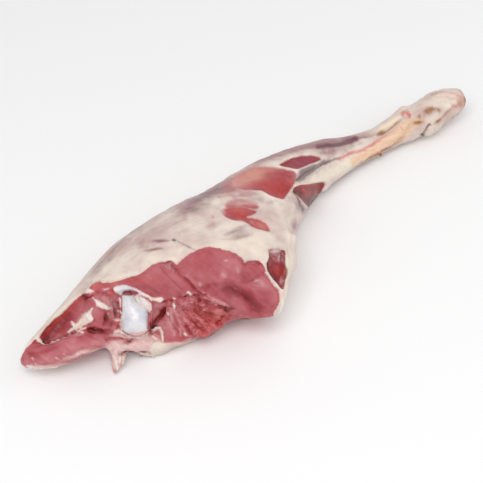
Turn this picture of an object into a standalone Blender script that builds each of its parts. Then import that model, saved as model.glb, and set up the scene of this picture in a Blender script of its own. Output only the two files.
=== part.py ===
"""A raw leg of lamb, lying with its fat-covered inner side up and the butcher's cut facing the viewer.

The leg runs along X: the butt end is at -X, the hock at +X. It rests on z = 0.
Two solids: the leg itself, which is one piece of meat with its fat, shank and hock,
and the ball-ended head of the thigh bone, which sits in a socket of the cut.
"""

import math

import bmesh
import bpy
import numpy as np
from mathutils import Matrix, Vector

MM = 0.001

# Driving dimensions, in millimetres.
BODY_VOXEL = 3.0
FINE_VOXEL = 2.2
BONE_GAP = 0.4
LEG_TRIANGLES = 10500
BONE_TRIANGLES = 900
RING_POINTS = 24

# The body's stations along the leg: x, near side y, far side y, underside z, top z.
BODY_STATIONS = [
    (-258, -34, -5, 4, 22),
    (-250, -60, 1, 0, 33),
    (-231, -90, 5, -3, 44.5),
    (-205, -110, 10, -4, 57),
    (-170, -128, 17, -5, 75),
    (-135, -134, 25, -5, 92),
    (-100, -134, 25, -5, 98.2),
    (-65, -124, 25, -5, 98),
    (-40, -108, 26, -5, 91),
    (-15, -86, 29, -4, 83),
    (10, -60, 32, -3, 75.5),
    (35, -38, 34, -2, 70),
    (62, -22, 35, -1, 63),
    (85, -11, 35, 0, 54),
    (106, -4, 34, 1, 47.5),
    (128, 1.5, 32.5, 3, 39.5),
    (148, 3.5, 28.5, 3, 30),
    (166, 4, 23, 4, 24),
    (183, 4, 19, 5, 20),
    (204, 4, 20, 5, 22),
    (222, -2, 20, 2, 27),
]
SQUARENESS = 0.86

# Swellings under the skin: middle, half sizes, then turns about X, Y and Z in degrees.
# The muscle that rounds the front of the knee, then the hock's heel, ankle and cut end.
SWELLINGS = {
    "knee_front": ((-26, -74, 49), (23, 18, 24), (0, 0, 40)),
    "heel": ((234, 1.5, 19), (20, 18.5, 18), (0, 0, -8)),
    "ankle": ((253, 3, 20), (25, 16, 19), (0, 0, -12)),
    "ankle_end": ((270, 0.5, 20.5), (15, 13.5, 14), (0, 0, 0)),
}

# Cords under the skin: points, then the radius at each. The flap of muscle that hangs
# beside the knee, the shin bone's ridge, and the tendon that runs clear of it to the heel.
CORDS = {
    "flap": ([(-2, -68, 66), (-4, -76, 56), (-9, -82, 45), (-15, -85, 37)], (6, 7, 6, 4)),
    "shin": (
        [(90, 2, 20), (128, 9.5, 16), (160, 8, 13), (175, 6.5, 12), (190, 6.5, 12), (222, 4, 15)],
        (14, 11.5, 9.7, 10, 8.6, 14),
    ),
    "tendon": (
        [(110, 18, 32), (145, 19, 24), (170, 15, 23), (195, 14.5, 21.5), (222, 15.5, 27)],
        (9, 7, 5, 4, 7),
    ),
}

# The butcher's cut is a wall across the thick end. Its frame: a point at the foot of
# the wall, how far it turns from the leg's length, and how far it leans back.
CUT_FOOT = (-150.0, -61.0, 6.0)
CUT_TURN = 28.0
CUT_LEAN = 20.0
CUT_REACH = 150.0
CUT_STEP = 3.5
CUT_SPAN = (-150.0, 150.0)
CUT_RISE = (-30.0, 140.0)


def cut_frame():
    """The wall's own frame: x along the foot to the right, y up the wall, z out of it."""
    turn = math.radians(CUT_TURN)
    lean = math.radians(CUT_LEAN)
    along = Vector((math.cos(turn), -math.sin(turn), 0))
    out = Vector((-math.sin(turn) * math.cos(lean), -math.cos(turn) * math.cos(lean), math.sin(lean)))
    up = out.cross(along)
    frame = Matrix((along, up, out)).transposed().to_4x4()
    frame.translation = Vector(CUT_FOOT)
    return frame


# Muscle ends on the wall: middle along and up, half sizes, turn in degrees, how far out.
CUT_LOBES = [
    (56, 64, 40, 38, -12, 9),
    (97, 60, 15, 19, 0, 7),
    (98, 38, 22, 25, 20, 13),
    (15, 70, 54, 26, 8, 3),
    (-30, 66, 26, 16, 10, 2),
    (-42, 43, 12, 17, 8, 5),
    (38, 34, 40, 28, -8, 1),
    (36, 12, 36, 13, -4, 3),
    (-8, 10, 32, 10, -4, 5),
]
CUT_BASE = -4.0

# Hollows of the wall, in the same order, with their depth last.
CUT_HOLLOWS = [
    (-71, 45, 27, 10, 44, 12),
    (-11, 52, 21, 17, 0, 8),
    (8, 36, 5, 14, 12, 8),
    (38, 32, 26, 16, -10, 4),
    (76, 42, 24, 6, -46, 7),
    (100, -6, 46, 26, 0, 26),
    (70, 2, 11, 17, 0, 10),
    (50, -4, 40, 17, 6, 13),
    (-60, -6, 46, 17, 9, 20),
]


# What lies or hangs in front of the wall, in its frame (along, up, out), then the radii:
# the long strip at the foot, the small hanging scrap, and the gristle beside the bone.
FRONT_PIECES = {
    "strip": (
        [(-113, 11, -3), (-107, 12, -2), (-92, 13.5, 0), (-74, 17, 1), (-58, 22, 0), (-38, 19, -5)],
        (3, 9, 12, 12.5, 11, 7),
    ),
    "scrap": ([(-29, 14, -5), (-30.5, 5, 2), (-33, -3, 7), (-36.5, -7, 12)], (9, 8, 5, 2)),
    "gristle": ([(-6, 60, -6), (0, 54, 0), (2, 45, 0), (1, 38, -6)], (5, 6, 5, 4)),
}

# The head of the thigh bone, in the wall's frame: its ball, then the neck that runs back in.
BALL_MIDDLE = (-11, 36, 1)
BALL_HALF = (13, 12, 13.5)
BALL_TURNS = (0, 0, -28)
NECK_POINTS = [(-13, 41, -1), (-16, 50, -4), (-17, 57, -14)]
NECK_RADII = (11.5, 8.5, 7)
BONE_VOXEL = 1.2

# The block below z = 0 that cuts the flat resting place.
FLOOR_BLOCK = (900, 600, 100)


def oval(along, up, middle, half, turn):
    """Squared distance from an oval's middle, 1 at its edge."""
    angle = math.radians(turn)
    x = along - middle[0]
    y = up - middle[1]
    u = (x * math.cos(angle) + y * math.sin(angle)) / half[0]
    v = (y * math.cos(angle) - x * math.sin(angle)) / half[1]
    return u * u + v * v


def wall_height(along, up):
    """How far the wall stands out of its plane, in mm: domed muscle ends, then hollows."""
    height = np.full(along.shape, CUT_BASE)
    for x, y, half_x, half_y, turn, out in CUT_LOBES:
        near = oval(along, up, (x, y), (half_x, half_y), turn)
        dome = CUT_BASE + (out - CUT_BASE) * np.sqrt(np.clip(1 - near, 0, 1))
        height = np.maximum(height, dome)
    for x, y, half_x, half_y, turn, depth in CUT_HOLLOWS:
        near = oval(along, up, (x, y), (half_x, half_y), turn)
        height = height - depth * np.clip(1 - near, 0, 1) ** 0.7
    return height


def clear_scene():
    for old in list(bpy.data.objects):
        bpy.data.objects.remove(old, do_unlink=True)


def collection_named(name):
    group = bpy.data.collections.new(name)
    bpy.context.scene.collection.children.link(group)
    return group


def object_from(bm, name, group):
    mesh = bpy.data.meshes.new(name)
    bm.to_mesh(mesh)
    bm.free()
    made = bpy.data.objects.new(name, mesh)
    group.objects.link(made)
    return made


def hide_helper(made):
    made.hide_render = True
    made.display_type = "WIRE"
    return made


def lofted(name, rings, group):
    """A closed solid through rings of points, with a fan over each end."""
    bm = bmesh.new()
    loops = [[bm.verts.new(Vector(point) * MM) for point in ring] for ring in rings]
    count = len(loops[0])
    for low, high in zip(loops, loops[1:]):
        for i in range(count):
            j = (i + 1) % count
            bm.faces.new((low[i], low[j], high[j], high[i]))
    bm.faces.new(reversed(loops[0]))
    bm.faces.new(loops[-1])
    bmesh.ops.recalc_face_normals(bm, faces=bm.faces)
    return object_from(bm, name, group)


def body_ring(x, near, far, low, high):
    """One cross-section of the leg: a rounded box between its four extents."""
    ring = []
    for i in range(RING_POINTS):
        angle = 2 * math.pi * i / RING_POINTS
        c = math.cos(angle)
        s = math.sin(angle)
        across = math.copysign(abs(c) ** SQUARENESS, c)
        rise = math.copysign(abs(s) ** SQUARENESS, s)
        y = (near + far) / 2 + (far - near) / 2 * across
        z = (low + high) / 2 + (high - low) / 2 * rise
        ring.append((x, y, z))
    return ring


def subdivided(made, levels):
    smooth = made.modifiers.new("Subdivision", "SUBSURF")
    smooth.levels = levels
    smooth.render_levels = levels
    return made


def ellipsoid(name, middle, half, turns, group):
    """A stretched ball: half sizes in mm, turns about X, Y and Z in degrees."""
    bm = bmesh.new()
    bmesh.ops.create_uvsphere(bm, u_segments=24, v_segments=16, radius=1.0)
    turn = Matrix.Rotation(math.radians(turns[2]), 4, "Z")
    turn = turn @ Matrix.Rotation(math.radians(turns[1]), 4, "Y")
    turn = turn @ Matrix.Rotation(math.radians(turns[0]), 4, "X")
    size = Matrix.Diagonal((half[0] * MM, half[1] * MM, half[2] * MM, 1))
    bm.transform(Matrix.Translation(Vector(middle) * MM) @ turn @ size)
    return object_from(bm, name, group)


def strand(name, points, radii, group):
    """A round tube through points, each with its own radius, made a welded mesh."""
    curve = bpy.data.curves.new(name, "CURVE")
    curve.dimensions = "3D"
    curve.bevel_depth = MM
    curve.bevel_resolution = 3
    curve.resolution_u = 6
    curve.use_fill_caps = True
    spline = curve.splines.new("NURBS")
    spline.points.add(len(points) - 1)
    for knot, point, radius in zip(spline.points, points, radii):
        knot.co = (*(Vector(point) * MM), 1)
        knot.radius = radius
    spline.use_endpoint_u = True
    spline.order_u = 4
    guide = bpy.data.objects.new(name, curve)
    group.objects.link(guide)
    bpy.context.view_layer.update()
    graph = bpy.context.evaluated_depsgraph_get()
    mesh = bpy.data.meshes.new_from_object(guide.evaluated_get(graph))
    bm = bmesh.new()
    bm.from_mesh(mesh)
    bmesh.ops.remove_doubles(bm, verts=bm.verts, dist=0.01 * MM)
    bmesh.ops.recalc_face_normals(bm, faces=bm.faces)
    bpy.data.objects.remove(guide, do_unlink=True)
    return object_from(bm, name, group)


def applied(made):
    """Bakes an object's modifiers into its mesh."""
    bpy.context.view_layer.update()
    graph = bpy.context.evaluated_depsgraph_get()
    mesh = bpy.data.meshes.new_from_object(made.evaluated_get(graph))
    made.modifiers.clear()
    made.data = mesh
    return made


def fused(name, pieces, voxel, smoothing, group):
    """Joins overlapping pieces into one closed skin, then evens it out."""
    bm = bmesh.new()
    for piece in pieces:
        applied(piece)
        bm.from_mesh(piece.data)
        bpy.data.objects.remove(piece, do_unlink=True)
    made = object_from(bm, name, group)
    skin = made.modifiers.new("Skin", "REMESH")
    skin.mode = "VOXEL"
    skin.voxel_size = voxel * MM
    even = made.modifiers.new("Even", "SMOOTH")
    even.factor = 0.5
    even.iterations = smoothing
    return applied(made)


def cut_away(made, cutter):
    cut = made.modifiers.new("Cut", "BOOLEAN")
    cut.operation = "DIFFERENCE"
    cut.solver = "EXACT"
    cut.object = cutter
    return applied(made)


def wall_cutter(group):
    """All that lies in front of the wall, with the wall's relief on its back face."""
    columns = np.arange(CUT_SPAN[0], CUT_SPAN[1] + CUT_STEP, CUT_STEP)
    rows = np.arange(CUT_RISE[0], CUT_RISE[1] + CUT_STEP, CUT_STEP)
    along, up = np.meshgrid(columns, rows)
    height = wall_height(along, up)
    bm = bmesh.new()
    bmesh.ops.create_grid(bm, x_segments=len(columns) - 1, y_segments=len(rows) - 1, size=0.5)
    order = sorted(bm.verts, key=lambda v: (round(v.co.y, 5), round(v.co.x, 5)))
    for vert, x, y, z in zip(order, along.flat, up.flat, height.flat):
        vert.co = Vector((x, y, z)) * MM
    front = bmesh.ops.extrude_face_region(bm, geom=list(bm.faces))
    for item in front["geom"]:
        if isinstance(item, bmesh.types.BMVert):
            item.co.z = CUT_REACH * MM
    frame = cut_frame()
    frame.translation = frame.translation * MM
    bm.transform(frame)
    bmesh.ops.recalc_face_normals(bm, faces=bm.faces)
    return hide_helper(object_from(bm, "wall_cutter", group))


def on_wall(along, up, out):
    """A point given in the wall's frame, in the leg's frame, in mm."""
    return tuple(cut_frame() @ Vector((along, up, out)))


def floor_cutter(group):
    bm = bmesh.new()
    bmesh.ops.create_cube(bm, size=1.0)
    size = Vector(FLOOR_BLOCK) * MM
    bm.transform(Matrix.Translation((0, 0, -size.z / 2)) @ Matrix.Diagonal((*size, 1)))
    return hide_helper(object_from(bm, "floor_cutter", group))


def leg_body(group):
    """The uncut thigh and shank, with the muscles, tendon and hock that swell it."""
    rings = [body_ring(*station) for station in BODY_STATIONS]
    pieces = [subdivided(lofted("trunk", rings, group), 2)]
    for name, (middle, half, turns) in SWELLINGS.items():
        pieces.append(ellipsoid(name, middle, half, turns, group))
    for name, (points, radii) in CORDS.items():
        pieces.append(strand(name, points, radii, group))
    return fused("leg", pieces, BODY_VOXEL, 8, group)


def front_pieces(group):
    """The strip, the scrap and the gristle, set in front of the wall."""
    pieces = []
    for name, (places, radii) in FRONT_PIECES.items():
        points = [on_wall(*place) for place in places]
        pieces.append(strand(name, points, radii, group))
    return pieces


def bone_head(group):
    """The ball of the thigh bone on its neck, which runs back into the meat."""
    ball = ellipsoid("ball", on_wall(*BALL_MIDDLE), BALL_HALF, BALL_TURNS, group)
    neck = strand("neck", [on_wall(*place) for place in NECK_POINTS], NECK_RADII, group)
    bone = fused("thigh_bone", [ball, neck], BONE_VOXEL, 4, group)
    return thinned(bone, BONE_TRIANGLES)


def grown_copy(made, name, gap, group):
    """The same solid, larger by the gap on every side, to cut its socket with."""
    bm = bmesh.new()
    bm.from_mesh(made.data)
    bm.normal_update()
    for vert in bm.verts:
        vert.co += vert.normal * gap * MM
    return hide_helper(object_from(bm, name, group))


def thinned(made, triangles):
    """Reduces a skin to about this many triangles."""
    made.data.calc_loop_triangles()
    ratio = triangles / len(made.data.loop_triangles)
    if ratio < 1:
        thin = made.modifiers.new("Thin", "DECIMATE")
        thin.ratio = ratio
        thin.use_collapse_triangulate = True
        applied(made)
    return made


def coloured(made, name, colour, roughness):
    material = bpy.data.materials.new(name)
    material.use_nodes = True
    shader = material.node_tree.nodes["Principled BSDF"]
    shader.inputs["Base Color"].default_value = (*colour, 1)
    shader.inputs["Roughness"].default_value = roughness
    shader.inputs["Metallic"].default_value = 0.0
    made.data.materials.clear()
    made.data.materials.append(material)
    made.data.shade_smooth()
    return made


def centred(pieces):
    """Moves the whole so that the middle of its footprint is the origin."""
    corners = [v.co for piece in pieces for v in piece.data.vertices]
    low = [min(c[i] for c in corners) for i in range(3)]
    high = [max(c[i] for c in corners) for i in range(3)]
    shift = Vector((-(low[0] + high[0]) / 2, -(low[1] + high[1]) / 2, -low[2]))
    for piece in pieces:
        piece.data.transform(Matrix.Translation(shift))
    print("size mm", [round((b - a) / MM, 1) for a, b in zip(low, high)])
    print("shift mm", [round(value / MM, 2) for value in shift])


def main():
    clear_scene()
    parts = collection_named("leg_of_lamb")
    cutters = collection_named("cutters")

    leg = leg_body(parts)
    cut_away(leg, wall_cutter(cutters))
    leg = fused("leg", [leg] + front_pieces(parts), FINE_VOXEL, 4, parts)
    thinned(leg, LEG_TRIANGLES)
    cut_away(leg, floor_cutter(cutters))

    bone = bone_head(parts)
    cut_away(leg, grown_copy(bone, "socket_cutter", BONE_GAP, cutters))

    coloured(leg, "meat_and_fat", (0.62, 0.36, 0.32), 0.38)
    coloured(bone, "bone_cartilage", (0.78, 0.74, 0.74), 0.28)
    centred([leg, bone])
    for made in (leg, bone):
        made.data.calc_loop_triangles()
        print(made.name, len(made.data.loop_triangles), "triangles")


main()
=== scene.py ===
# %% [markdown]
# Raw leg of lamb, from the frame to the finished look.
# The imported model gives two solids: the leg, which is one piece of meat, and the ball of
# its thigh bone. This script loads them, grows a fine skin over the leg, carves the folds,
# tears and windows that a butcher leaves, and then makes the materials.
# The whole way of working is to move and paint the points of one skin. Meat could also be
# sculpted by hand, or covered with picture textures, but neither can be read or changed
# later as a list of named marks can.

# %% Load the frame
import itertools
import math

import bmesh
import bpy
import numpy as np
from mathutils import Matrix, Vector
from mathutils.bvhtree import BVHTree


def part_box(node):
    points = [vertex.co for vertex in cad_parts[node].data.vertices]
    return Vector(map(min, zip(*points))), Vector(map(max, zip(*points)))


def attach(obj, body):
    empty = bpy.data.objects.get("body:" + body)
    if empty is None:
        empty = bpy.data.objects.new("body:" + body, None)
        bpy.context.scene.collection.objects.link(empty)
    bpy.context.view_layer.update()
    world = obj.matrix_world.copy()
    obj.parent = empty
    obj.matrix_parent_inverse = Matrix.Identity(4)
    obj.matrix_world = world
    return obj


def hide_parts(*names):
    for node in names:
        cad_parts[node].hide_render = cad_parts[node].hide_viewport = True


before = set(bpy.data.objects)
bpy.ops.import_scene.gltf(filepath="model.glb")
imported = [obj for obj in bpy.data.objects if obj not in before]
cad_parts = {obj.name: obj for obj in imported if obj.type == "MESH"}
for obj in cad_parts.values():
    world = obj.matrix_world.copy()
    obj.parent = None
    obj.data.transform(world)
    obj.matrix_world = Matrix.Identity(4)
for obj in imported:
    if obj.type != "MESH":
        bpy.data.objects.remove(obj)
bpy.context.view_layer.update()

MM = 0.001
leg_low, leg_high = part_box("leg")
print("leg box in mm", [round(side / MM, 1) for side in (*leg_low, *leg_high)])

# %% [markdown]
# The photograph is taken from the front left and well above. The camera looks at a point
# on the table from 1.6 m with a long lens, so the leg hardly narrows with distance. A lens
# with no perspective at all would be simpler, but the hock would look a little too big.
# The same numbers also tell where any point of the meat shows in the picture, which is how
# the marks further down are placed: they are given where the eye sees them, in pixels from
# the left and from the top.

# %% Set up the camera
PICTURE = 483
AIM = np.array([-18.2, 38.4, 0.0])
TURN = math.radians(40.0)
RISE = math.radians(45.0)
DISTANCE = 1600.0
MM_PER_PIXEL = 0.92
SENSOR = 36.0

RIGHT = np.array([math.cos(TURN), -math.sin(TURN), 0.0])
LEVEL_BACK = np.array([-math.sin(TURN), -math.cos(TURN), 0.0])
BACK = LEVEL_BACK * math.cos(RISE) + np.array([0.0, 0.0, math.sin(RISE)])
UP = np.cross(BACK, RIGHT)


def make_camera():
    """Puts the camera on its line of sight, upright, with the lens that fits the picture."""
    data = bpy.data.cameras.new("camera")
    data.sensor_width = SENSOR
    half_width = PICTURE / 2 * MM_PER_PIXEL
    data.lens = SENSOR / 2 * DISTANCE / half_width
    data.clip_start = 0.05
    data.clip_end = 20
    camera = bpy.data.objects.new("camera", data)
    bpy.context.scene.collection.objects.link(camera)
    turn = Matrix((RIGHT, UP, BACK)).transposed().to_4x4()
    camera.matrix_world = Matrix.Translation(Vector((AIM + BACK * DISTANCE) * MM)) @ turn
    bpy.context.scene.camera = camera
    print("lens", round(data.lens, 1), "mm")


make_camera()


def picture_place(points):
    """Where points in mm show in the picture: across from the left and down from the top."""
    from_aim = points - AIM
    zoom = DISTANCE / (DISTANCE - from_aim @ BACK) / MM_PER_PIXEL
    across = PICTURE / 2 + (from_aim @ RIGHT) * zoom
    down = PICTURE / 2 - (from_aim @ UP) * zoom
    return np.stack([across, down], axis=1)


# %% [markdown]
# Soft daylight from all round keeps the red true. One wide panel above and to the left
# gives the wet sheen, and a weak one opposite keeps the shaded end from going dull. Small
# hard lamps would put white dots on the wet meat and black shadows on the table.

# %% Light the table
def make_panel(name, place, size, power):
    """A square light that faces the leg."""
    data = bpy.data.lights.new(name, "AREA")
    data.shape = "SQUARE"
    data.size = size
    data.energy = power
    lamp = bpy.data.objects.new(name, data)
    bpy.context.scene.collection.objects.link(lamp)
    lamp.location = Vector(place)
    lamp.rotation_mode = "QUATERNION"
    lamp.rotation_quaternion = Vector(place).to_track_quat("Z", "Y")


def make_sky(strength):
    """The same white light from every side."""
    world = bpy.data.worlds.new("daylight")
    world.use_nodes = True
    sky = world.node_tree.nodes["Background"]
    sky.inputs["Color"].default_value = (1, 1, 1, 1)
    sky.inputs["Strength"].default_value = strength
    bpy.context.scene.world = world


SKY_STRENGTH = 0.62
KEY_POWER = 13
FILL_POWER = 4
make_sky(SKY_STRENGTH)
make_panel("key_panel", (-0.7, -0.5, 1.5), 1.1, KEY_POWER)
make_panel("fill_panel", (1.2, -0.6, 0.9), 1.0, FILL_POWER)
bpy.context.scene.view_settings.view_transform = "Standard"
print("sky", SKY_STRENGTH, "key", KEY_POWER, "W fill", FILL_POWER, "W")


# %% [markdown]
# A material here is a graph of nodes. Writing each node out by hand hides the idea, so a
# number on the graph is wrapped in a small class: adding or multiplying two of them adds
# the Math node that does it. Everything else comes from one method that makes any node.

# %% Write shader maths as expressions
class Number:
    """A number that changes over a surface, as an output socket of a graph."""

    def __init__(self, graph, socket):
        self.graph = graph
        self.socket = socket

    def math(self, operation, *others):
        """A Math node of this number with up to two more."""
        values = {index: other for index, other in enumerate((self, *others))}
        node = self.graph.node("ShaderNodeMath", {"operation": operation}, values)
        return Number(self.graph, node.outputs[0])

    def __add__(self, other):
        return self.math("ADD", other)

    __radd__ = __add__

    def __mul__(self, other):
        return self.math("MULTIPLY", other)

    __rmul__ = __mul__

    def __sub__(self, other):
        return self.math("SUBTRACT", other)

    def __rsub__(self, other):
        return (self * -1) + other

    def step(self, low, high):
        """0 below low, 1 above high, and a smooth rise between."""
        values = {"Value": self, "From Min": low, "From Max": high}
        node = self.graph.node("ShaderNodeMapRange", {"interpolation_type": "SMOOTHSTEP"}, values)
        return Number(self.graph, node.outputs[0])

    def clamped(self):
        """Kept between 0 and 1."""
        return self.math("MAXIMUM", 0.0).math("MINIMUM", 1.0)


# %% [markdown]
# The graph itself makes the nodes. One method makes any node at all, and the few that the
# meat needs again and again get a short name of their own: painted values, noise, a blend
# of two colours, and bumps. Fibres come from squeezing space along one direction before
# the noise is taken, which is cheaper and softer than drawing each thread.

# %% Keep the nodes of one material together
class Graph:
    """The nodes of one material."""

    def __init__(self, name):
        self.material = bpy.data.materials.new(name)
        self.material.use_nodes = True
        self.tree = self.material.node_tree
        self.shader = self.tree.nodes["Principled BSDF"]
        self.place = self.node("ShaderNodeNewGeometry", {}, {}).outputs["Position"]

    def feed(self, target, value):
        """Links a socket, or sets it to a number or a colour."""
        if isinstance(value, Number):
            value = value.socket
        if isinstance(value, bpy.types.NodeSocket):
            self.tree.links.new(value, target)
        elif isinstance(value, tuple) and len(value) == 3 and target.type == "RGBA":
            target.default_value = (*value, 1)
        else:
            target.default_value = value

    def node(self, kind, settings, values):
        """Any node: its settings come first, then the values or links of its sockets."""
        made = self.tree.nodes.new(kind)
        for name, setting in settings.items():
            setattr(made, name, setting)
        for name, value in values.items():
            self.feed(made.inputs[name], value)
        return made

    def attribute(self, name):
        """The number that was painted on the skin under this name."""
        made = self.node("ShaderNodeAttribute", {"attribute_name": name}, {})
        return Number(self, made.outputs["Fac"])

    def vector(self, operation, values):
        return self.node("ShaderNodeVectorMath", {"operation": operation}, values)

    def stretched(self, direction, length):
        """Space squeezed along one direction, so that noise runs out into fibres there."""
        run = Number(self, self.vector("DOT_PRODUCT", {0: self.place, 1: direction}).outputs["Value"])
        push = self.vector("SCALE", {0: direction, "Scale": run * (1 - 1 / length)})
        return self.vector("SUBTRACT", {0: self.place, 1: push.outputs[0]}).outputs[0]

    def noise(self, scale, detail=3.0, rough=0.55, place=None, warp=0.0):
        """Cloudy values round one half. The scale is in clouds for each metre."""
        values = {"Vector": place or self.place, "Scale": scale, "Detail": detail, "Roughness": rough}
        values["Distortion"] = warp
        return Number(self, self.node("ShaderNodeTexNoise", {}, values).outputs["Fac"])

    def mix(self, amount, first, second):
        """A colour between two, by an amount from 0 to 1."""
        node = self.node("ShaderNodeMix", {"data_type": "RGBA"}, {0: amount, 6: first, 7: second})
        return node.outputs[2]

    def bump(self, height, strength, distance):
        """Small unevenness in the light alone, with its full height in metres."""
        values = {"Height": height, "Strength": strength, "Distance": distance}
        return self.node("ShaderNodeBump", {}, values).outputs[0]

    def finish(self, settings):
        """Sets or links the shader's own sockets."""
        for name, value in settings.items():
            self.feed(self.shader.inputs[name], value)
        return self.material


def tone(red, green, blue):
    """A colour read off a screen, 0 to 255, as the light it stands for."""
    return tuple(((part / 255 + 0.055) / 1.055) ** 2.4 for part in (red, green, blue))


print("a cream fat is", [round(part, 2) for part in tone(240, 228, 210)], "in light")


# %% [markdown]
# Shapes on meat are never even. A lattice of random numbers, smoothly joined, gives bumps
# of any size, and stretching the lattice along one way turns the bumps into fibres. It is
# worked out here, not in a material, because it has to move the points of the skin. The
# random numbers come from the place itself, so every run gives the same meat.

# %% Make uneven fields in numbers
def ramp(values, low, high):
    """0 below low, 1 above high, and a smooth rise between."""
    t = np.clip((values - low) / (high - low), 0, 1)
    return t * t * (3 - 2 * t)


def lattice(points, seed):
    """Smooth random heights from -1 to 1, one bump for each unit of space."""
    cell = np.floor(points).astype(np.int64)
    part = points - cell
    ease = part * part * (3 - 2 * part)
    total = np.zeros(len(points))
    for corner in itertools.product((0, 1), repeat=points.shape[1]):
        key = np.full(len(points), seed * 7919 + 13, np.int64)
        weight = np.ones(len(points))
        for axis, step in enumerate(corner):
            key = (key * 31 + (cell[:, axis] + step) * (axis * 7349 + 4241)) & 0x7FFFFFFF
            key = (key ^ (key >> 13)) * 1274126177 & 0x7FFFFFFF
            weight = weight * (ease[:, axis] if step else 1 - ease[:, axis])
        total += ((key ^ (key >> 16)) & 0xFFFF) / 0x7FFF * weight
    return total - 1


def uneven(points, size, seed, layers=2):
    """Layered bumps, the first as wide as size and each next one half as wide and high."""
    total = np.zeros(len(points))
    for layer in range(layers):
        total += lattice(points / size * 2**layer, seed + layer) / 2**layer
    return total


trial = uneven(np.linspace(0, 90, 60).reshape(20, 3), 8, 1)
print("uneven values from", round(trial.min(), 2), "to", round(trial.max(), 2))


# %% [markdown]
# Every mark is drawn with a few given points. A curve that passes through all of them makes
# a soft outline of a patch or the path of a fold. From there only two questions are asked
# of each point of the skin: how far is the line, and is the point inside it?

# %% Draw curves and measure from them
def rounded(points, closed, steps=6):
    """A smooth curve through given points."""
    knots = np.array(points, float)
    count = len(knots)
    spans = count if closed else count - 1
    made = []
    for i in range(spans):
        if closed:
            a, b, c, d = (knots[(i + k) % count] for k in (-1, 0, 1, 2))
        else:
            a, b, c, d = (knots[min(max(i + k, 0), count - 1)] for k in (-1, 0, 1, 2))
        for t in np.arange(steps) / steps:
            bend = 2 * a - 5 * b + 4 * c - d + t * (3 * (b - c) + d - a)
            made.append(b + 0.5 * t * (c - a + t * bend))
    if not closed:
        made.append(knots[-1])
    return np.array(made)


def distance_to_line(places, line, closed):
    """How far each place is from a line of short straight steps."""
    ends = np.roll(line, -1, axis=0) if closed else line[1:]
    starts = line if closed else line[:-1]
    best = np.full(len(places), 1e9)
    for start, end in zip(starts, ends):
        run = end - start
        along = np.clip((places - start) @ run / max(run @ run, 1e-9), 0, 1)
        gap = places - start - along[:, None] * run
        best = np.minimum(best, np.einsum("ij,ij->i", gap, gap))
    return np.sqrt(best)


def inside(places, line):
    """Whether each place lies inside a closed line."""
    odd = np.zeros(len(places), bool)
    for (x0, y0), (x1, y1) in zip(line, np.roll(line, -1, axis=0)):
        crosses = (y0 > places[:, 1]) != (y1 > places[:, 1])
        rise = y1 - y0 if y1 != y0 else 1e-9
        odd ^= crosses & (places[:, 0] < x0 + (places[:, 1] - y0) * (x1 - x0) / rise)
    return odd


ring = rounded([(0, 0), (8, 0), (8, 8), (0, 8)], True)
middle = np.array([[4.0, 4.0]])
print("a ring of", len(ring), "steps, its middle is inside:", bool(inside(middle, ring)[0]))


# %% [markdown]
# Three kinds of mark are enough for everything on this leg: a patch with an outline, a
# stroke along a path, and a soft round spot. To save time, distances are only worked out
# near a mark, and anything further off counts as one fixed reach away.

# %% Make the three kinds of mark
REACH = 30.0


def patch(places, points):
    """Signed distance to an outline in picture pixels: positive inside it."""
    line = rounded(points, True)
    low = line.min(0) - REACH
    high = line.max(0) + REACH
    near = ((places > low) & (places < high)).all(1)
    signed = np.full(len(places), -REACH)
    gap = distance_to_line(places[near], line, True)
    signed[near] = np.where(inside(places[near], line), gap, -gap)
    return signed


def stroke(places, points):
    """Distance to an open line in picture pixels."""
    line = rounded(points, False)
    low = line.min(0) - REACH
    high = line.max(0) + REACH
    near = ((places > low) & (places < high)).all(1)
    gap = np.full(len(places), REACH)
    gap[near] = distance_to_line(places[near], line, False)
    return gap


def spot(places, x, y, wide, high, turn=0.0):
    """A soft round mark in the picture, 1 in its middle."""
    angle = math.radians(turn)
    dx = places[:, 0] - x
    dy = places[:, 1] - y
    u = (dx * math.cos(angle) + dy * math.sin(angle)) / wide
    v = (dy * math.cos(angle) - dx * math.sin(angle)) / high
    return np.exp(-(u * u + v * v))


print("a spot 4 wide, 4 from its middle, is", round(float(spot(middle, 8, 4, 4, 4)[0]), 2))


# %% [markdown]
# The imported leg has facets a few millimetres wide. Remeshing it into small even squares
# and smoothing those gives a skin fine enough to carve: every mark below moves its points.
# A subdivision surface would also be smooth, but it keeps the pattern of the old facets and
# has too few points on the long ones.

# %% Grow a fine skin over the leg
SKIN_STEP = 1.0
SMOOTH_ROUNDS = 7


def remeshed(mesh, name, step, rounds):
    """A smooth, finely meshed skin over everything in a mesh."""
    made = bpy.data.objects.new(name, mesh)
    bpy.context.scene.collection.objects.link(made)
    skin = made.modifiers.new("skin", "REMESH")
    skin.mode = "VOXEL"
    skin.voxel_size = step * MM
    even = made.modifiers.new("even", "SMOOTH")
    even.iterations = rounds
    bpy.context.view_layer.update()
    graph = bpy.context.evaluated_depsgraph_get()
    fine = bpy.data.meshes.new_from_object(made.evaluated_get(graph))
    made.modifiers.clear()
    made.data = fine
    fine.name = name
    fine.materials.clear()
    fine.shade_smooth()
    return made


def corners_of(mesh):
    """The mesh's points in mm."""
    flat = np.empty(len(mesh.vertices) * 3)
    mesh.vertices.foreach_get("co", flat)
    return flat.reshape(-1, 3) / MM


def facings_of(mesh):
    """Which way the skin faces at each of its points."""
    flat = np.empty(len(mesh.vertices) * 3)
    mesh.vertices.foreach_get("normal", flat)
    return flat.reshape(-1, 3)


def move_corners(mesh, points):
    mesh.vertices.foreach_set("co", (points * MM).ravel())
    mesh.update()


def paint(mesh, name, values):
    """Keeps one number for each point, for the material to read."""
    layer = mesh.attributes.new(name, "FLOAT", "POINT")
    layer.data.foreach_set("value", values.astype(np.float32))


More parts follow.
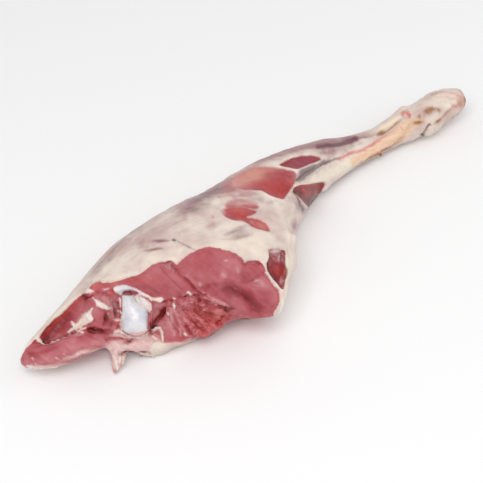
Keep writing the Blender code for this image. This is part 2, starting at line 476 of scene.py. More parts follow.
smooth_leg = remeshed(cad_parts["leg"].data.copy(), "smooth_leg", SKIN_STEP, SMOOTH_ROUNDS)
print("smooth points", len(smooth_leg.data.vertices))

# %% [markdown]
# A torn joint is full of loose ends. Each shred is a string of small balls, laid on whatever
# meat lies under its path as the eye sees it, and a second remesh melts them into the skin.
# The thick cords are the ligament that bridges the joint and the gristle round the bone.
# Separate tubes would be quicker, but they would lie on the meat like wires.
# Each shred has its path, its thickness at both ends as a radius in mm, and how many mm its
# middle stands off the meat.

# %% Lay shreds on the meat
SHREDS = [
    ([(114.6, 290.6), (118, 289), (123, 287.6), (129, 287.8), (135, 289.2)], 2.7, 1.6, 0.6),
    ([(135, 289.2), (141, 292), (147, 295), (154, 298.6), (161.6, 300.4)], 1.5, 2.6, 0.6),
    ([(136.6, 297.6), (139, 302), (143, 307)], 2.0, 2.6, 2.0),
    ([(142, 297), (145, 302), (148.6, 308.6)], 2.6, 3.0, 1.2),
    ([(150, 300), (151, 306)], 2.4, 2.0, 0.4),
    ([(152.6, 329.4), (156, 327.6), (160.4, 328), (162.4, 332.6), (162.6, 340)], 1.8, 1.5, 0.6),
    ([(202.6, 293.6), (208, 295.4), (214, 299), (224, 303.4)], 2.0, 1.4, 0.8),
    ([(175, 308), (180, 313), (184, 321), (190, 329)], 1.9, 1.4, 0.3),
    ([(180, 303), (190, 308), (198, 315), (204, 324)], 1.8, 2.0, 0.3),
    ([(186, 299), (196, 302), (206, 308), (214, 310)], 1.6, 1.8, 0.3),
    ([(172, 313), (174, 322), (179, 333)], 1.5, 1.6, 0.2),
    ([(190, 317), (196, 325), (203, 331)], 2.0, 1.6, 0.2),
    ([(205, 303), (214, 306.4), (222, 310.4)], 1.7, 1.7, 0.3),
    ([(208, 317), (214, 322), (217, 328)], 2.0, 1.6, 0.2),
    ([(224, 311), (228, 314), (230, 318)], 1.8, 1.5, 0.2),
    ([(166.4, 307.6), (166, 314), (163, 320)], 1.7, 1.5, 0.2),
    ([(201, 335.6), (205, 334.4), (209, 333)], 2.6, 2.4, 0.6),
    ([(214.4, 310.4), (217.6, 311.6)], 2.4, 2.0, 0.6),
    ([(92, 286.4), (96, 285.2), (99, 284.6)], 2.4, 2.8, 0.4),
    ([(101, 292.6), (106, 290.6)], 2.4, 2.0, 0.2),
    ([(104, 300), (110, 303.4)], 2.2, 1.8, 0.3),
    ([(112, 309), (114, 314), (112.6, 319)], 2.2, 2.0, 0.2),
    ([(117.6, 321), (116.4, 326), (112, 330.6)], 2.0, 1.8, 0.3),
    ([(107, 327.4), (113, 329), (118, 332)], 2.0, 1.6, 0.4),
    ([(97, 297.6), (103, 299.6)], 2.0, 1.6, 0.3),
    ([(87, 290.6), (93, 288.6)], 1.8, 1.6, 0.2),
    ([(117, 298), (116.4, 304), (118, 309)], 2.0, 1.6, 0.3),
    ([(119.4, 311), (120, 317)], 1.6, 1.4, 0.3),
    ([(77, 331.4), (84, 329.4), (92, 326.4)], 2.0, 1.8, 0.4),
    ([(43, 343.4), (52, 342), (61, 338.6)], 1.5, 1.3, 0.3),
    ([(36, 338.4), (40, 340.4)], 2.0, 1.6, 0.4),
    ([(93, 308.4), (88, 314), (81.4, 321.4), (73, 327.6)], 1.7, 1.4, 0.2),
    ([(72.4, 320.6), (74, 325)], 1.6, 1.4, 0.2),
    ([(130, 337.4), (137, 338.8), (143, 337.8)], 1.6, 1.4, 0.4),
    ([(149, 351), (152.4, 354.6), (153, 357.6)], 1.6, 1.4, 0.2),
    ([(121.4, 355), (122, 360.6)], 1.6, 1.3, 0.2),
    ([(378.2, 149.6), (379, 152.6), (379.6, 155.6)], 1.5, 1.1, 0.2),
    ([(421.4, 134), (422.6, 136.6)], 1.6, 1.7, 0.2),
    ([(283.6, 264), (284, 271), (282, 280)], 1.5, 1.5, 0.0),
    ([(120.6, 297.4), (120.8, 304), (121.2, 311), (121.4, 318), (121.8, 325),
     (122.4, 330)], 2.1, 2.3, 2.0),
    ([(118.4, 297.6), (118.4, 303), (118.6, 309)], 2.0, 1.8, 0.6),
    ([(131.4, 292), (134.8, 295.4)], 1.7, 1.7, -0.4),
    ([(151, 308.6), (150.6, 314), (150.4, 320), (149.8, 326), (148.4, 330)], 2.6, 2.6, 2.6),
    ([(122.6, 332.2), (129, 335.2), (137, 336.2), (145, 334.6), (149.4, 331.2)], 2.4, 2.5, 3.0),
    ([(270, 251.4), (275, 253.4), (280, 251.6)], 1.5, 1.3, 0.2),
    ([(402, 115), (405, 112.4), (409.6, 113)], 1.6, 1.5, 0.0),
]
print("shreds", len(SHREDS))

# %% Melt the shreds into the skin
EYE = AIM + BACK * DISTANCE


def tree_of(names):
    """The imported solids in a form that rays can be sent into."""
    bm = bmesh.new()
    for name in names:
        bm.from_mesh(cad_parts[name].data)
    tree = BVHTree.FromBMesh(bm)
    bm.free()
    return tree


def under_path(tree, path):
    """The places in mm on the meat below a path in the picture, and past its edge, beside it."""
    depth = 0.0
    made = []
    for x, y in path:
        flat = AIM + RIGHT * (x - PICTURE / 2) * MM_PER_PIXEL + UP * (PICTURE / 2 - y) * MM_PER_PIXEL
        way = (flat - EYE) / np.linalg.norm(flat - EYE)
        hit = tree.ray_cast(Vector(EYE * MM), Vector(way))[0]
        if hit is not None:
            depth = (Vector(EYE * MM) - hit).length / MM
        made.append(EYE + way * depth)
    return made


def lay_shred(bm, tree, path, start_radius, end_radius, lift):
    """A string of balls that sinks a little into the meat."""
    line = rounded(path, False, 5)
    for number, place in enumerate(under_path(tree, line)):
        share = number / (len(line) - 1)
        radius = start_radius + (end_radius - start_radius) * share
        middle = Matrix.Translation(Vector((place + BACK * lift) * MM))
        bmesh.ops.create_icosphere(bm, subdivisions=1, radius=radius * MM, matrix=middle)


def with_shreds(mesh):
    """The smooth leg with all its shreds laid on it, not yet joined."""
    tree = tree_of(("leg", "thigh_bone"))
    bm = bmesh.new()
    bm.from_mesh(mesh)
    for path, start_radius, end_radius, lift in SHREDS:
        lay_shred(bm, tree, path, start_radius, end_radius, lift)
    bm.to_mesh(mesh)
    bm.free()
    return mesh


flesh = remeshed(with_shreds(smooth_leg.data.copy()), "leg_meat", SKIN_STEP, 2)
bpy.data.objects.remove(smooth_leg)
print("fine points", len(flesh.data.vertices))

# %% [markdown]
# A skin this fine has more triangles than a part in a library should have. The far side and
# the underside carry only broad fat, so they give up points, and the cut keeps all of its
# own. A coarser skin all over would have cost the shreds and the edges of the fat.

# %% Thin the skin on the far side
KEPT_SHARE = 0.58
HIDDEN_BELOW = -0.15


def thin_the_back(made):
    """Takes points away where the skin faces away from the picture."""
    hidden = np.flatnonzero(facings_of(made.data) @ BACK < HIDDEN_BELOW)
    group = made.vertex_groups.new(name="hidden")
    group.add(hidden.tolist(), 1.0, "REPLACE")
    fewer = made.modifiers.new("fewer", "DECIMATE")
    fewer.ratio = KEPT_SHARE
    fewer.vertex_group = group.name
    bpy.context.view_layer.update()
    graph = bpy.context.evaluated_depsgraph_get()
    mesh = bpy.data.meshes.new_from_object(made.evaluated_get(graph))
    made.modifiers.clear()
    made.vertex_groups.clear()
    made.data = mesh
    mesh.name = made.name
    mesh.shade_smooth()


thin_the_back(flesh)
print("triangles", sum(len(face.vertices) - 2 for face in flesh.data.polygons))
points = corners_of(flesh.data)
facing = facings_of(flesh.data)
print("skin points", len(points))

# %% [markdown]
# A knife never leaves a perfect curve, so each point's place in the picture is first pushed
# about by a pixel. Points that face away from the camera take no marks from it: without
# that, every mark on the cut would show through on the far side, like paint on glass.
# The wall of the cut is named by its foot and the way it faces, because hollows in it also
# face away here and there and still belong to the cut.

# %% Find where each point shows
WOBBLE = 0.8
towards = facing @ BACK
seen = ramp(towards, -0.1, 0.15)
reachable = ramp(towards, -0.6, -0.1)
WALL_FOOT = np.array([-168.2, -22.6, 6.0])
WALL_OUT = np.array([-0.4412, -0.8297, 0.342])
behind_wall = -(points - WALL_FOOT) @ WALL_OUT
outer = np.maximum(ramp(behind_wall, 12, 20), ramp(18 - points[:, 2], 0, 6))
turned_away = ramp(-towards, 0.1, 0.35) * outer
wobble = np.stack([uneven(points, 7, 61, 3), uneven(points, 7, 62, 3)], axis=1)
places = picture_place(points) + wobble * WOBBLE
calm_places = picture_place(points) + wobble * WOBBLE / 3


def only_seen(pixels):
    """A signed distance in mm, pushed far outside for points that face away."""
    return pixels * MM_PER_PIXEL - 40 * turned_away


def spots(marks):
    """Soft marks added up. Each has its middle, half width, half height, turn and amount."""
    total = np.zeros(len(places))
    for x, y, wide, high, turn, amount in marks:
        total += amount * spot(places, x, y, wide, high, turn)
    return total


def lines(marks):
    """The strongest of some soft lines. Each has its path, half width and amount."""
    total = np.zeros(len(places))
    for path, half, amount in marks:
        one = amount * np.exp(-((stroke(places, path) / half) ** 2))
        total = np.where(abs(one) > abs(total), one, total)
    return total


def bands(marks):
    """Signed distance to the nearest of some bands, each a path and a half width."""
    total = np.full(len(places), -REACH)
    for path, half in marks:
        total = np.maximum(total, half - stroke(places, path))
    return total


print("points in sight", int((seen > 0.5).sum()), "of", len(points))


# %% [markdown]
# The butcher's cut: everything below the edge of the fat on the near side is bare muscle.
# Its outline is drawn once, as the eye sees it, and runs on past the lower edge of the meat
# where only the underside can be.

# %% Draw the edge between fat and cut
CUT_EDGE = [
    (24, 350), (31, 344), (34, 340), (39.5, 335.7), (46.5, 327), (53.5, 320), (61, 314.5), (69.5, 306),
    (76.5, 298.5), (82, 293.5), (88, 292.5), (91, 286), (95, 282.3), (100, 281.5), (104, 282.5),
    (115, 281.5), (130, 278), (142, 272.5), (151, 265.5), (156, 264), (162, 262), (169, 261),
    (173, 262), (176.5, 264.5), (180, 261.5), (185, 256.5), (195, 250.5), (203, 248), (211, 247),
    (219, 248.5), (225, 250.3), (231, 251), (241, 257.5), (245, 262.5), (249, 261.3), (257, 260.4),
    (262, 263), (265.5, 269), (267, 273), (272, 281), (277, 288), (279.6, 296), (279, 304), (274, 313),
    (270, 321), (250, 330), (228, 326), (208, 342), (196, 340), (184, 342), (172, 343), (163, 342.6),
    (157, 341.4), (152.4, 344), (150.4, 349), (148, 354), (136, 355.2), (124, 355.2), (122, 362),
    (118, 376), (60, 385), (15, 378), (16, 358),
]
cut = only_seen(patch(places, CUT_EDGE))
print("cut points", int((cut > 0).sum()))

# %% [markdown]
# The fat is thin over the knee and the shank, and in places the knife has lifted it off.
# Each such window is a shallow hollow with a rolled lip, red inside. Each has its outline,
# how deep its red is, and how sharp its edge is: a fresh cut ends at once, and a film over
# the muscle fades out. The notch beside the knee is cut right through the edge of the fat.

# %% Draw the windows in the fat
KNEE_WINDOW = [
    (232, 183), (236, 176), (243, 171), (250, 168), (260, 167.2), (274, 167.6), (286, 169.5),
    (295, 171.6), (296, 180), (292.6, 187), (288, 194), (283.5, 199.5), (277, 198.4), (270, 196),
    (264, 192.5), (258, 190.5), (248, 190), (238, 188.5),
]
SMALL_WINDOW = [
    (279.5, 164.8), (287, 160), (294.7, 157), (304.4, 155.5), (316, 156), (321, 159), (316, 162),
    (308, 165), (298.6, 168.7), (289, 167.7),
]
SHIN_WINDOW = [
    (292.8, 190), (298.6, 185.4), (308, 184.2), (324, 182.6), (322, 191), (316, 200), (310, 207.5),
    (305.4, 204), (300.5, 198.5),
]
FILM_WINDOW = [
    (225, 206), (229, 202), (238, 200.2), (249, 201), (256, 203.6), (259, 207), (255, 209.4),
    (246, 208.6), (236, 208), (228, 209.6),
]
THIGH_WINDOW = [
    (221, 211), (225, 208.5), (231, 206.5), (238, 206), (245, 207), (252, 209), (257, 211.4),
    (253, 214.6), (247, 217), (254, 218), (262, 220.6), (268, 225.4), (270, 231.3), (262, 230.5),
    (254, 227.5), (247, 223.5), (241, 220.6), (233, 220.5), (226, 217),
]
NOTCH = [
    (268.5, 250), (273, 248.6), (280, 249.4), (285.4, 250.6), (285.8, 257), (285.4, 264), (287.6, 273),
    (285.4, 281), (283.6, 289.6), (279.4, 288), (273, 279.4), (267.6, 271), (266.6, 264), (269, 257),
]
WINDOWS = [
    (KNEE_WINDOW, 0.5, 0.45), (SMALL_WINDOW, 0.74, 0.6), (SHIN_WINDOW, 0.82, 0.9),
    (THIGH_WINDOW, 0.5, 0.4), (NOTCH, 0.76, 0.8), (FILM_WINDOW, 0.46, 0.26),
]
window = np.full(len(points), -REACH)
window_shade = np.full(len(points), 0.4)
for outline, depth, sharpness in WINDOWS:
    one = patch(calm_places, outline) * sharpness
    window_shade = np.where(one > np.maximum(window, -2), depth, window_shade)
    window = np.maximum(window, one)
window = only_seen(window)
calm = np.where(window > cut, 1.0, 0.0)
bare = np.maximum(cut, window)
print("bare points", int((bare > 0).sum()), "of", len(points))

# %% [markdown]
# Inside the cut the colour runs from silvery pink on smooth muscle to deep crimson where
# the knife has torn it. Part of the deep red is painted shade: the pocket, the slits, the
# cleft, the folds and the valleys between lobes are painted darker where shade falls, and a
# few pale marks are painted highlights, the wet glints on the dome and in the shin window.
# A second number says how far the red leans to orange, as on fresh cut edges, or to mauve,
# as under a film. One noise over the whole cut would give the right colours in the wrong
# places, so the marks are placed. Each has its place across and down, half width, half
# height, turn in degrees and amount.

# %% Shade the bare muscle
# Own deeper red and painted shade: some marks are the muscle's darker red, and the rest are painted
# shade in the pocket, the slits, the cleft, the folds and the valleys between lobes.
DEEP_RED_AND_SHADE_MARKS = [
    (58, 325, 24, 6, -44, 0.36), (66, 322, 18, 8, -44, 0.14), (84, 297, 4, 5, -30, 0.35),
    (47, 338, 8, 3, -30, 0.3), (97, 330.6, 7, 2.2, 8, 1.5), (124.6, 291.6, 2, 1, 8, 0.25),
    (158.4, 318, 1.5, 8, 32, 1.0), (162.4, 312.4, 2.2, 4.2, 28, 0.8), (153, 330, 3, 2, 40, 0.3),
    (106, 317.5, 2, 3.4, 0, 0.35), (118, 326, 2.4, 1.4, 0, 0.3), (107, 319, 2.4, 5, 0, 0.3),
    (151.6, 325, 2.4, 4, 0, 0.45), (259, 263, 5, 2.6, 20, 0.28), (240, 294, 16, 5, 36, 0.24),
    (252, 304, 11, 4.6, 42, 0.24), (224, 291, 22, 5, 8, 0.14), (170, 267, 7, 4, 20, 0.16),
    (168, 261.6, 4, 0.9, -5, 0.4), (192, 286, 10, 1.8, 47, 0.2), (199.5, 300.5, 2, 2.4, 0, 0.3),
    (221, 307.5, 4, 1.6, 20, 0.35), (231.5, 309, 3.6, 1.4, 0, 0.45), (197.5, 325.5, 4, 1.8, 44, 0.35),
    (213, 314.5, 3, 1.2, 10, 0.3), (221, 320, 1.6, 3.6, 34, 0.35), (207, 322, 4, 2, 40, 0.25),
    (190, 318, 9, 2, 50, 0.2), (205, 305, 7, 2, 20, 0.22), (186, 306, 7, 2, 30, 0.2),
    (179, 327, 1.6, 8, -25, 0.25), (267.6, 268, 1.6, 5, -14, 0.35), (275, 276, 5, 6, -20, 0.2),
    (281, 287, 2.4, 2.4, 0, 0.3), (128.4, 341.8, 3, 1.6, 20, 0.25), (118, 338, 9, 0.9, 6, 0.25),
    (135, 353.4, 15, 1.1, 2, 0.55), (150, 334.6, 3, 2, 0, 0.2), (297, 191, 3, 4, 0, 0.2),
    (301.6, 193.6, 2.4, 2.4, 0, 0.5), (309, 201, 4, 5, 0, 0.3), (227, 318, 3, 3, 0, 0.25),
    (268, 300, 11, 12, 0, 0.14), (36, 354, 12, 4, -20, 0.08), (52, 349, 14, 3, -24, 0.1),
    (255, 268, 8, 7, 10, 0.18), (245, 312, 12, 5, 0, 0.12), (284, 187, 9, 11, 0, 0.22),
    (200, 330, 12, 5, 0, 0.2), (268, 188, 16, 8, 15, 0.08),
]
# Paler muscle and painted highlights: most marks are paler muscle, and the small ones on the dome and
# the one in the shin window are painted wet glints.
PALE_AND_HIGHLIGHT_MARKS = [
    (223, 276, 4, 4, 40, 0.22), (239, 269, 4, 3, 30, 0.16), (202, 284.5, 4, 2.6, 40, 0.24),
    (226, 261, 3, 1.4, -10, 0.2), (246, 177, 13, 8, 0, 0.26), (237, 181, 7, 7, -20, 0.5),
    (250, 180, 12, 7, 0, 0.16), (95, 286, 3, 3, 0, 0.3), (106, 288.6, 4, 1.4, 0, 0.5),
    (117, 319.8, 4, 1.4, 0, 0.6), (112, 303, 4, 5, 0, 0.14), (113, 327, 4, 3, 0, 0.2),
    (235, 297, 14, 6, 36, 0.06), (229, 264, 14, 8, 20, 0.12), (235, 297, 18, 8, 36, 0.06),
    (169, 322, 7, 10, 0, 0.22), (97, 312, 6, 4, 0, 0.12), (261, 285, 9, 6, 30, 0.14),
    (80, 311, 5, 12, 42, 0.14), (44, 361, 14, 4, -10, 0.14), (68, 352, 16, 3.4, -22, 0.16),
    (26, 362, 4, 6, 0, 0.1), (213, 298, 9, 1.6, 27, 0.24), (217, 311, 3.4, 2.4, 0, 0.14),
    (243, 309, 6, 4, 30, 0.1), (155, 312, 4, 8, 0, 0.22), (180, 300, 8, 2, 0, 0.12),
    (103, 296, 7, 4, 10, 0.08), (304.4, 189.4, 1.6, 2, 15, 0.4), (279, 268, 3, 3, 0, 0.12),
    (193, 318, 3, 9, -40, 0.1), (183, 322, 2, 9, -28, 0.12), (192, 280, 8, 1.6, 47, 0.16),
    (150, 277, 14, 6, -15, 0.14), (260, 225, 8, 3, 24, 0.24), (95, 343, 14, 4, -10, 0.14),
    (60, 347, 14, 4, -20, 0.1), (156, 316, 4, 9, 0, 0.16),
]
WARM_MARKS = [
    (95, 286, 4.6, 4, 0, 1.3), (112, 292.4, 2.4, 4, 0, 1.3), (117, 322.4, 3.4, 1, 0, 0.9),
    (118, 283.6, 22, 2, -8, 0.7), (140, 282, 18, 6, -12, 0.4), (58, 319.5, 24, 2.2, -44, 1.2),
    (78, 301.5, 3.4, 2.4, -40, 0.8), (204, 335.4, 5, 3, 0, 1.8), (203, 318, 26, 14, 20, 0.6),
    (217, 311, 5, 4, 0, 0.6), (222, 318, 6, 5, 0, 0.5), (213, 326, 10, 6, 0, 0.5),
    (180, 338, 14, 2.4, 0, 0.5), (270, 186, 18, 9, 10, 0.7), (247, 176, 14, 9, 0, 0.45),
    (284, 186, 9, 12, 0, 0.5), (240, 213, 11, 5, 8, 1.1), (260, 225, 10, 4.4, 24, 0.8),
    (34.5, 341.6, 3, 2.6, 0, 1.4), (279.4, 298, 1.6, 10, 0, 0.6), (309, 185, 14, 1.6, -4, 0.8),
    (314, 185.4, 4, 1.2, -4, 0.8), (153.5, 334, 4, 2.4, 0, 1.3), (159, 318, 2.2, 9, 32, 0.5),
    (97, 331, 6, 2, 8, 0.4), (279, 272, 2.6, 4, 0, 0.9), (278, 268, 6, 7, 0, 0.3),
    (121, 318, 3, 6, 0, 0.4), (173, 300, 8, 3, 0, 0.4), (207, 250, 14, 2, -14, 0.2),
]
COOL_MARKS = [
    (261, 290, 12, 12, 30, 0.5), (222, 268, 26, 14, 20, 0.16), (302, 162, 20, 7, -10, 1.0),
    (126, 289, 14, 5, 6, 1.0), (142, 303, 9, 8, 0, 0.5), (50, 358, 40, 6, -22, 0.35),
    (169, 322, 8, 12, 0, 0.5), (232, 291, 16, 5, 10, 0.25), (169, 267, 7, 4, 20, 0.6),
    (236, 203, 14, 3, -4, 0.8), (60, 325, 18, 5, -43, 0.2), (97, 312, 7, 4, 0, 0.4),
    (103, 297, 7, 5, 0, 0.2), (282, 285, 3, 4, 0, 0.5), (276, 257, 8, 5, 0, 0.6),
    (202, 284.5, 5, 3, 40, 0.4),
]
shade = 0.4 + spots(DEEP_RED_AND_SHADE_MARKS) - spots(PALE_AND_HIGHLIGHT_MARKS)
shade = np.where(window > cut, window_shade + 0.7 * (shade - 0.4), shade)
warm = spots(WARM_MARKS) - spots(COOL_MARKS)

# %% Say where the muscle is torn
TORN_AREA = [
    (163, 303), (172, 298), (186, 294), (203, 291), (214, 297), (226, 303), (236, 310), (230, 320),
    (224, 330), (214, 337), (200, 340), (188, 340), (184, 332), (178, 318), (168, 312),
]
FRAYED_MARKS = [
    (102, 300, 12, 7, 0, 0.6), (113, 314, 9, 18, 0, 0.9), (36, 340, 6, 4, 0, 0.8),
    (278, 262, 7, 12, 0, 0.6), (156, 328, 5, 12, 0, 0.5), (82, 296, 6, 5, -40, 0.6),
    (96, 286, 6, 4, 0, 0.5), (125, 338, 16, 5, 0, 0.4),
]
torn = np.clip(ramp(patch(places, TORN_AREA), -3, 4) + spots(FRAYED_MARKS), 0, 1) * seen
print("torn points", int((torn > 0.5).sum()))

# %% [markdown]
# White tissue: the ligament that arches over the joint, the gristle beside the neck of the
# bone, seams between muscles, and flecks of fat in the torn part. Along the underside of
# the strip the whitish membrane is painted whiter than its own colour, as painted light
# where it faces the table. Patches have outlines, and bands have a path and a half width.

# %% Draw the white tissue
WHITE_PATCHES = [
    [(114, 288.2), (118, 286.3), (126.7, 286.2), (133.3, 288.2), (139, 291), (145, 293.6),
     (152, 296.4), (161.3, 297.6), (164, 301), (160, 302.8), (153, 300.6), (146, 297.4), (141, 295.2),
     (138.5, 296.6), (130, 296.6), (134, 295.6), (138, 293.8), (136, 291.8), (130, 290.5),
     (124.6, 290.8), (122.6, 292.4), (123.6, 294.8), (119, 294.6), (115.2, 292.5)],
    [(134, 296), (140, 296.4), (147, 299.6), (151.4, 304), (151.4, 311), (144, 312), (138, 308),
     (134.6, 303)],
    [(94, 306.6), (90.6, 308), (87, 312), (82, 317.6), (77, 322.4), (73, 326.4), (67.6, 332.4),
     (74, 330), (81, 326.6), (88, 324), (93, 320.6), (91.4, 316), (92, 311.4)],
    [(72.5, 320.2), (74.6, 323), (74.4, 327), (72.4, 325.4), (71, 321.6)],
    [(92.4, 296.4), (95, 299), (99.4, 301.6), (106.4, 304.6), (111, 308.4), (104.3, 309),
     (97.4, 306.4), (95.8, 302)],
    [(36, 336.6), (39, 336), (42.6, 340.4), (43.6, 343.4), (39, 342.6), (36.4, 340)],
    [(154.4, 328), (157, 326.4), (160.6, 326.4), (162.6, 330), (163.6, 336.6), (163, 342),
     (161.4, 338), (160.4, 332), (158, 329.6), (152.6, 332)],
    # Whitish membrane under the strip, painted whiter as painted light.
    [(28, 366), (38, 369.4), (48, 369.6), (57, 367), (56, 369.6), (46, 373), (34, 372), (26, 368)],
    [(88, 289.4), (92, 289.6), (94.4, 291.4), (90, 292.4), (87, 292.6)],
    [(279.8, 290), (283, 289.6), (286, 293), (286.4, 302), (284.6, 310), (279.4, 315.6),
     (277.6, 312.6), (280, 304), (280.6, 296)],
]
WHITE_BANDS = [
    ([(266.2, 272.4), (270, 278), (273.4, 283), (279.4, 290)], 0.8),
    ([(43, 343.6), (50.7, 342.4), (58, 339.2), (70.7, 334)], 0.6),
    ([(188.6, 293.4), (190.6, 295.6)], 1.6),
    ([(173.4, 298.6), (175, 299.6)], 0.9),
    ([(173.6, 304.6), (174.6, 306.6)], 1.3),
    ([(167.6, 313), (168.4, 315)], 0.9),
    ([(184.6, 334), (186.4, 335)], 1.1),
    ([(203.6, 310), (205, 311)], 0.6),
    ([(31.6, 358), (33, 360.4)], 0.1),
    ([(34.6, 363.6), (37, 365)], 0.2),
    ([(56, 357), (58.6, 359.4)], 0.1),
    ([(64.4, 354.6), (66.4, 356.4)], 0.1),
    ([(115, 333), (118.6, 331.4), (123, 333)], 1.6),
    ([(115.6, 319.6), (121, 320.6)], 0.8),
    ([(118.4, 311), (121.6, 314)], 0.7),
    ([(120.6, 298), (120.6, 306)], 0.7),
    ([(121, 323), (121.8, 330)], 0.9),
    ([(104, 288.4), (108, 289)], 0.2),
    ([(80.8, 328.4), (86, 327.4)], 0.4),
    # Painted light: a whiter band on the underside of the strip.
    ([(41, 370), (46, 371.4)], 1.2),
    ([(112.6, 356), (116, 363), (117.6, 370)], 1.1),
    ([(120.6, 355), (119.6, 363)], 0.9),
    ([(152, 336), (156, 339)], 0.5),
    ([(124, 337.4), (134, 338.6), (143, 337.4)], 0.4),
    ([(134, 351), (146, 350.4)], 0.3),
    ([(76, 330), (84, 331.6)], 0.3),
]
white = np.full(len(points), -REACH)
for outline in WHITE_PATCHES:
    white = np.maximum(white, patch(places, outline))
white = only_seen(np.maximum(white, bands(WHITE_BANDS)))
print("white points", int((white > 0).sum()))

# %% [markdown]
# Two thin coats lie on the bare muscle. A veil is the whitish film that wraps each muscle,
# left on the skirt, the scrap and the lower edge. A glaze is the peach shine on the knee
# window, where fat was wiped over the red. Both are painted apart from the white tissue,
# because the fibres have to show through them. The veil marks also carry painted light:
# small wet glints on the dome, and paler patches round the foot of the ball that soften
# the shade in the gap there. A few marks below zero take the veil off painted shade lines
# under the ball.

# %% Spread thin films over the muscle
# Membrane and painted light: most marks are whitish film, the small ones on the dome are painted glints,
# the ones round the foot of the ball are painted light over its shade, and the marks below zero clear
# the film off painted shade lines.
VEIL_AND_LIGHT_MARKS = [
    (128, 347, 18, 7, 4, 1.1), (126, 334.6, 6, 3, 0, 1.0), (120.6, 326, 1.6, 6, 0, 0.6),
    (147, 345, 10, 9, 0, 1.3), (111, 346, 6, 5, 0, 0.6), (140, 334.6, 11, 3.4, 0, 1.1),
    (118, 334, 6, 3, 0, 0.5), (56, 366.6, 20, 2.6, -8, 0.8), (72, 357, 14, 2.4, -20, 0.8),
    (96, 350.6, 16, 2.4, -6, 0.7), (80, 352.6, 6, 2, -20, 0.5), (40, 369, 12, 3, 6, 1.3),
    (83, 319, 14, 4.6, -43, 0.75), (103, 305, 9, 3, 20, 0.5), (116, 360, 8, 12, 0, 1.4),
    (252, 170, 16, 2.6, -2, 0.4), (249, 178, 11, 6, 0, 0.36), (243, 203, 17, 3, -2, 0.66),
    (223, 210, 4, 5, 0, 0.7), (252, 221, 5, 3, 30, 0.35), (134, 303, 5, 8, 0, 0.5),
    (274.6, 250.8, 7, 3.8, 0, 0.95), (276.6, 258.6, 8, 5, 0, 0.34), (169, 267, 8, 4, 20, 0.35),
    (169, 321, 6, 9, 0, 0.3), (255.4, 280.6, 4, 1, -18, 0.5), (235, 290, 1.3, 1, 0, 0.5),
    (200, 284.8, 3, 1.7, 44, 0.55), (224, 276, 4.4, 2, 36, 0.34), (239, 271, 3, 2.4, -30, 0.3),
    (225.4, 261, 1.4, 1, -20, 0.7), (152, 356, 5, 3, 0, 1.0), (120, 341.8, 4, 1.6, 0, 0.6),
    (128.4, 341.8, 2.6, 1.4, 20, -0.6), (118, 338, 9, 0.8, 6, -0.5), (135, 354, 15, 1.0, 2, -0.9),
    (135, 347, 10, 4, 0, 0.2), (108, 300, 7, 4, 20, 0.35), (114, 306, 4, 6, 0, 0.4),
    (112, 316, 4, 4, 0, 0.35), (113, 335, 7, 2, 0, 0.5), (280, 258, 1, 4, 10, 0.5),
    (283.6, 259, 0.8, 4, 0, 0.4), (282.4, 282, 2.4, 6, 8, 0.45), (232, 184, 5, 5, -30, 0.4),
    (261, 284, 8, 5, 30, 0.3), (79, 334, 7, 1.6, -14, 0.5), (160, 342, 4, 3, 0, 0.4),
    (192, 340, 8, 1.4, -6, 0.6), (172, 342.4, 10, 1.4, -2, 0.5),
]
GLAZE_MARKS = [
    (256, 174, 9, 5, 0, 0.85), (244, 178, 9, 7, -20, 0.62), (231, 184, 9, 5, -20, 0.5),
    (268, 169.6, 12, 2.4, 0, 0.5), (294, 176, 2.4, 6, 0, 0.2), (236, 204, 14, 3.4, -4, 0.3),
    (262, 225, 7, 3, 26, 0.4), (240, 210, 8, 2, 0, 0.2),
]
veil_and_painted_light = np.clip(spots(VEIL_AND_LIGHT_MARKS), 0, 1) * seen
glaze = np.clip(spots(GLAZE_MARKS), 0, 1) * seen
print("veiled points", int((veil_and_painted_light > 0.5).sum()), "glazed", int((glaze > 0.3).sum()))

# %% [markdown]
# Under thin fat the muscle shows as mauve. It follows the far edge of the thigh, the calf
# and a few long streaks, and on the side that the picture hides it is spread by chance.
# Grey is dry film, and further down it also takes painted shade in the creases of the fat.
# Purple is a vein or a seam close under the skin, and cream is fat thick enough to hide them
# all; a few cream marks are painted highlights instead, on the lip of the fat above the cut,
# along the lower edge of the knee window and on the hock.

# %% Let the muscle show through the fat
MAUVE_MARKS = [
    (150, 216, 42, 8, -38, 0.58), (205, 194, 26, 7, -30, 0.7), (226, 188, 16, 6, -14, 0.9),
    (224, 193, 14, 2.4, -10, 0.6), (188, 209, 14, 7, -28, 0.5), (432, 100, 9, 3, -16, 0.14),
    (432, 131, 6, 3, -30, 0.14), (145, 244, 10, 7, -12, 0.42), (126, 247, 18, 4, -46, 0.6),
    (98, 266, 22, 3.4, -46, 0.55), (168, 226, 30, 6, -32, 0.5), (211, 226, 6, 5, -20, 0.65),
    (238, 235, 14, 5, -12, 0.6), (240, 202.6, 17, 4.4, -4, 1.0), (161, 241.5, 8, 1.6, -6, 0.9),
    (155, 250, 10, 2, -8, 0.85), (180, 232, 22, 4, -24, 0.25), (294.6, 226, 4, 7, 0, 1.2),
    (307, 210, 5, 6, 20, 0.8), (299, 204, 5, 8, -20, 0.5), (291, 240, 2, 8, 0, 0.3),
    (258, 163, 14, 3.5, -24, 0.75), (290, 151, 32, 5, -14, 1.2), (246, 194.4, 12, 2.4, 8, 0.6),
    (104, 277, 12, 3, -20, 0.25), (128, 266, 20, 3, -20, 0.15), (222, 224, 10, 3, 0, 0.25),
    (334, 151, 18, 5, -14, 0.95), (332, 142, 28, 4.4, -12, 0.95), (352, 137.4, 16, 2.4, -10, 0.6),
    (276, 238, 4, 8, 0, 0.2), (238, 179, 9, 7, -20, 0.5), (230, 186, 14, 5, -10, 0.4),
    (268, 212, 10, 6, 20, 0.2), (285, 214, 4, 6, 0, 0.2),
]
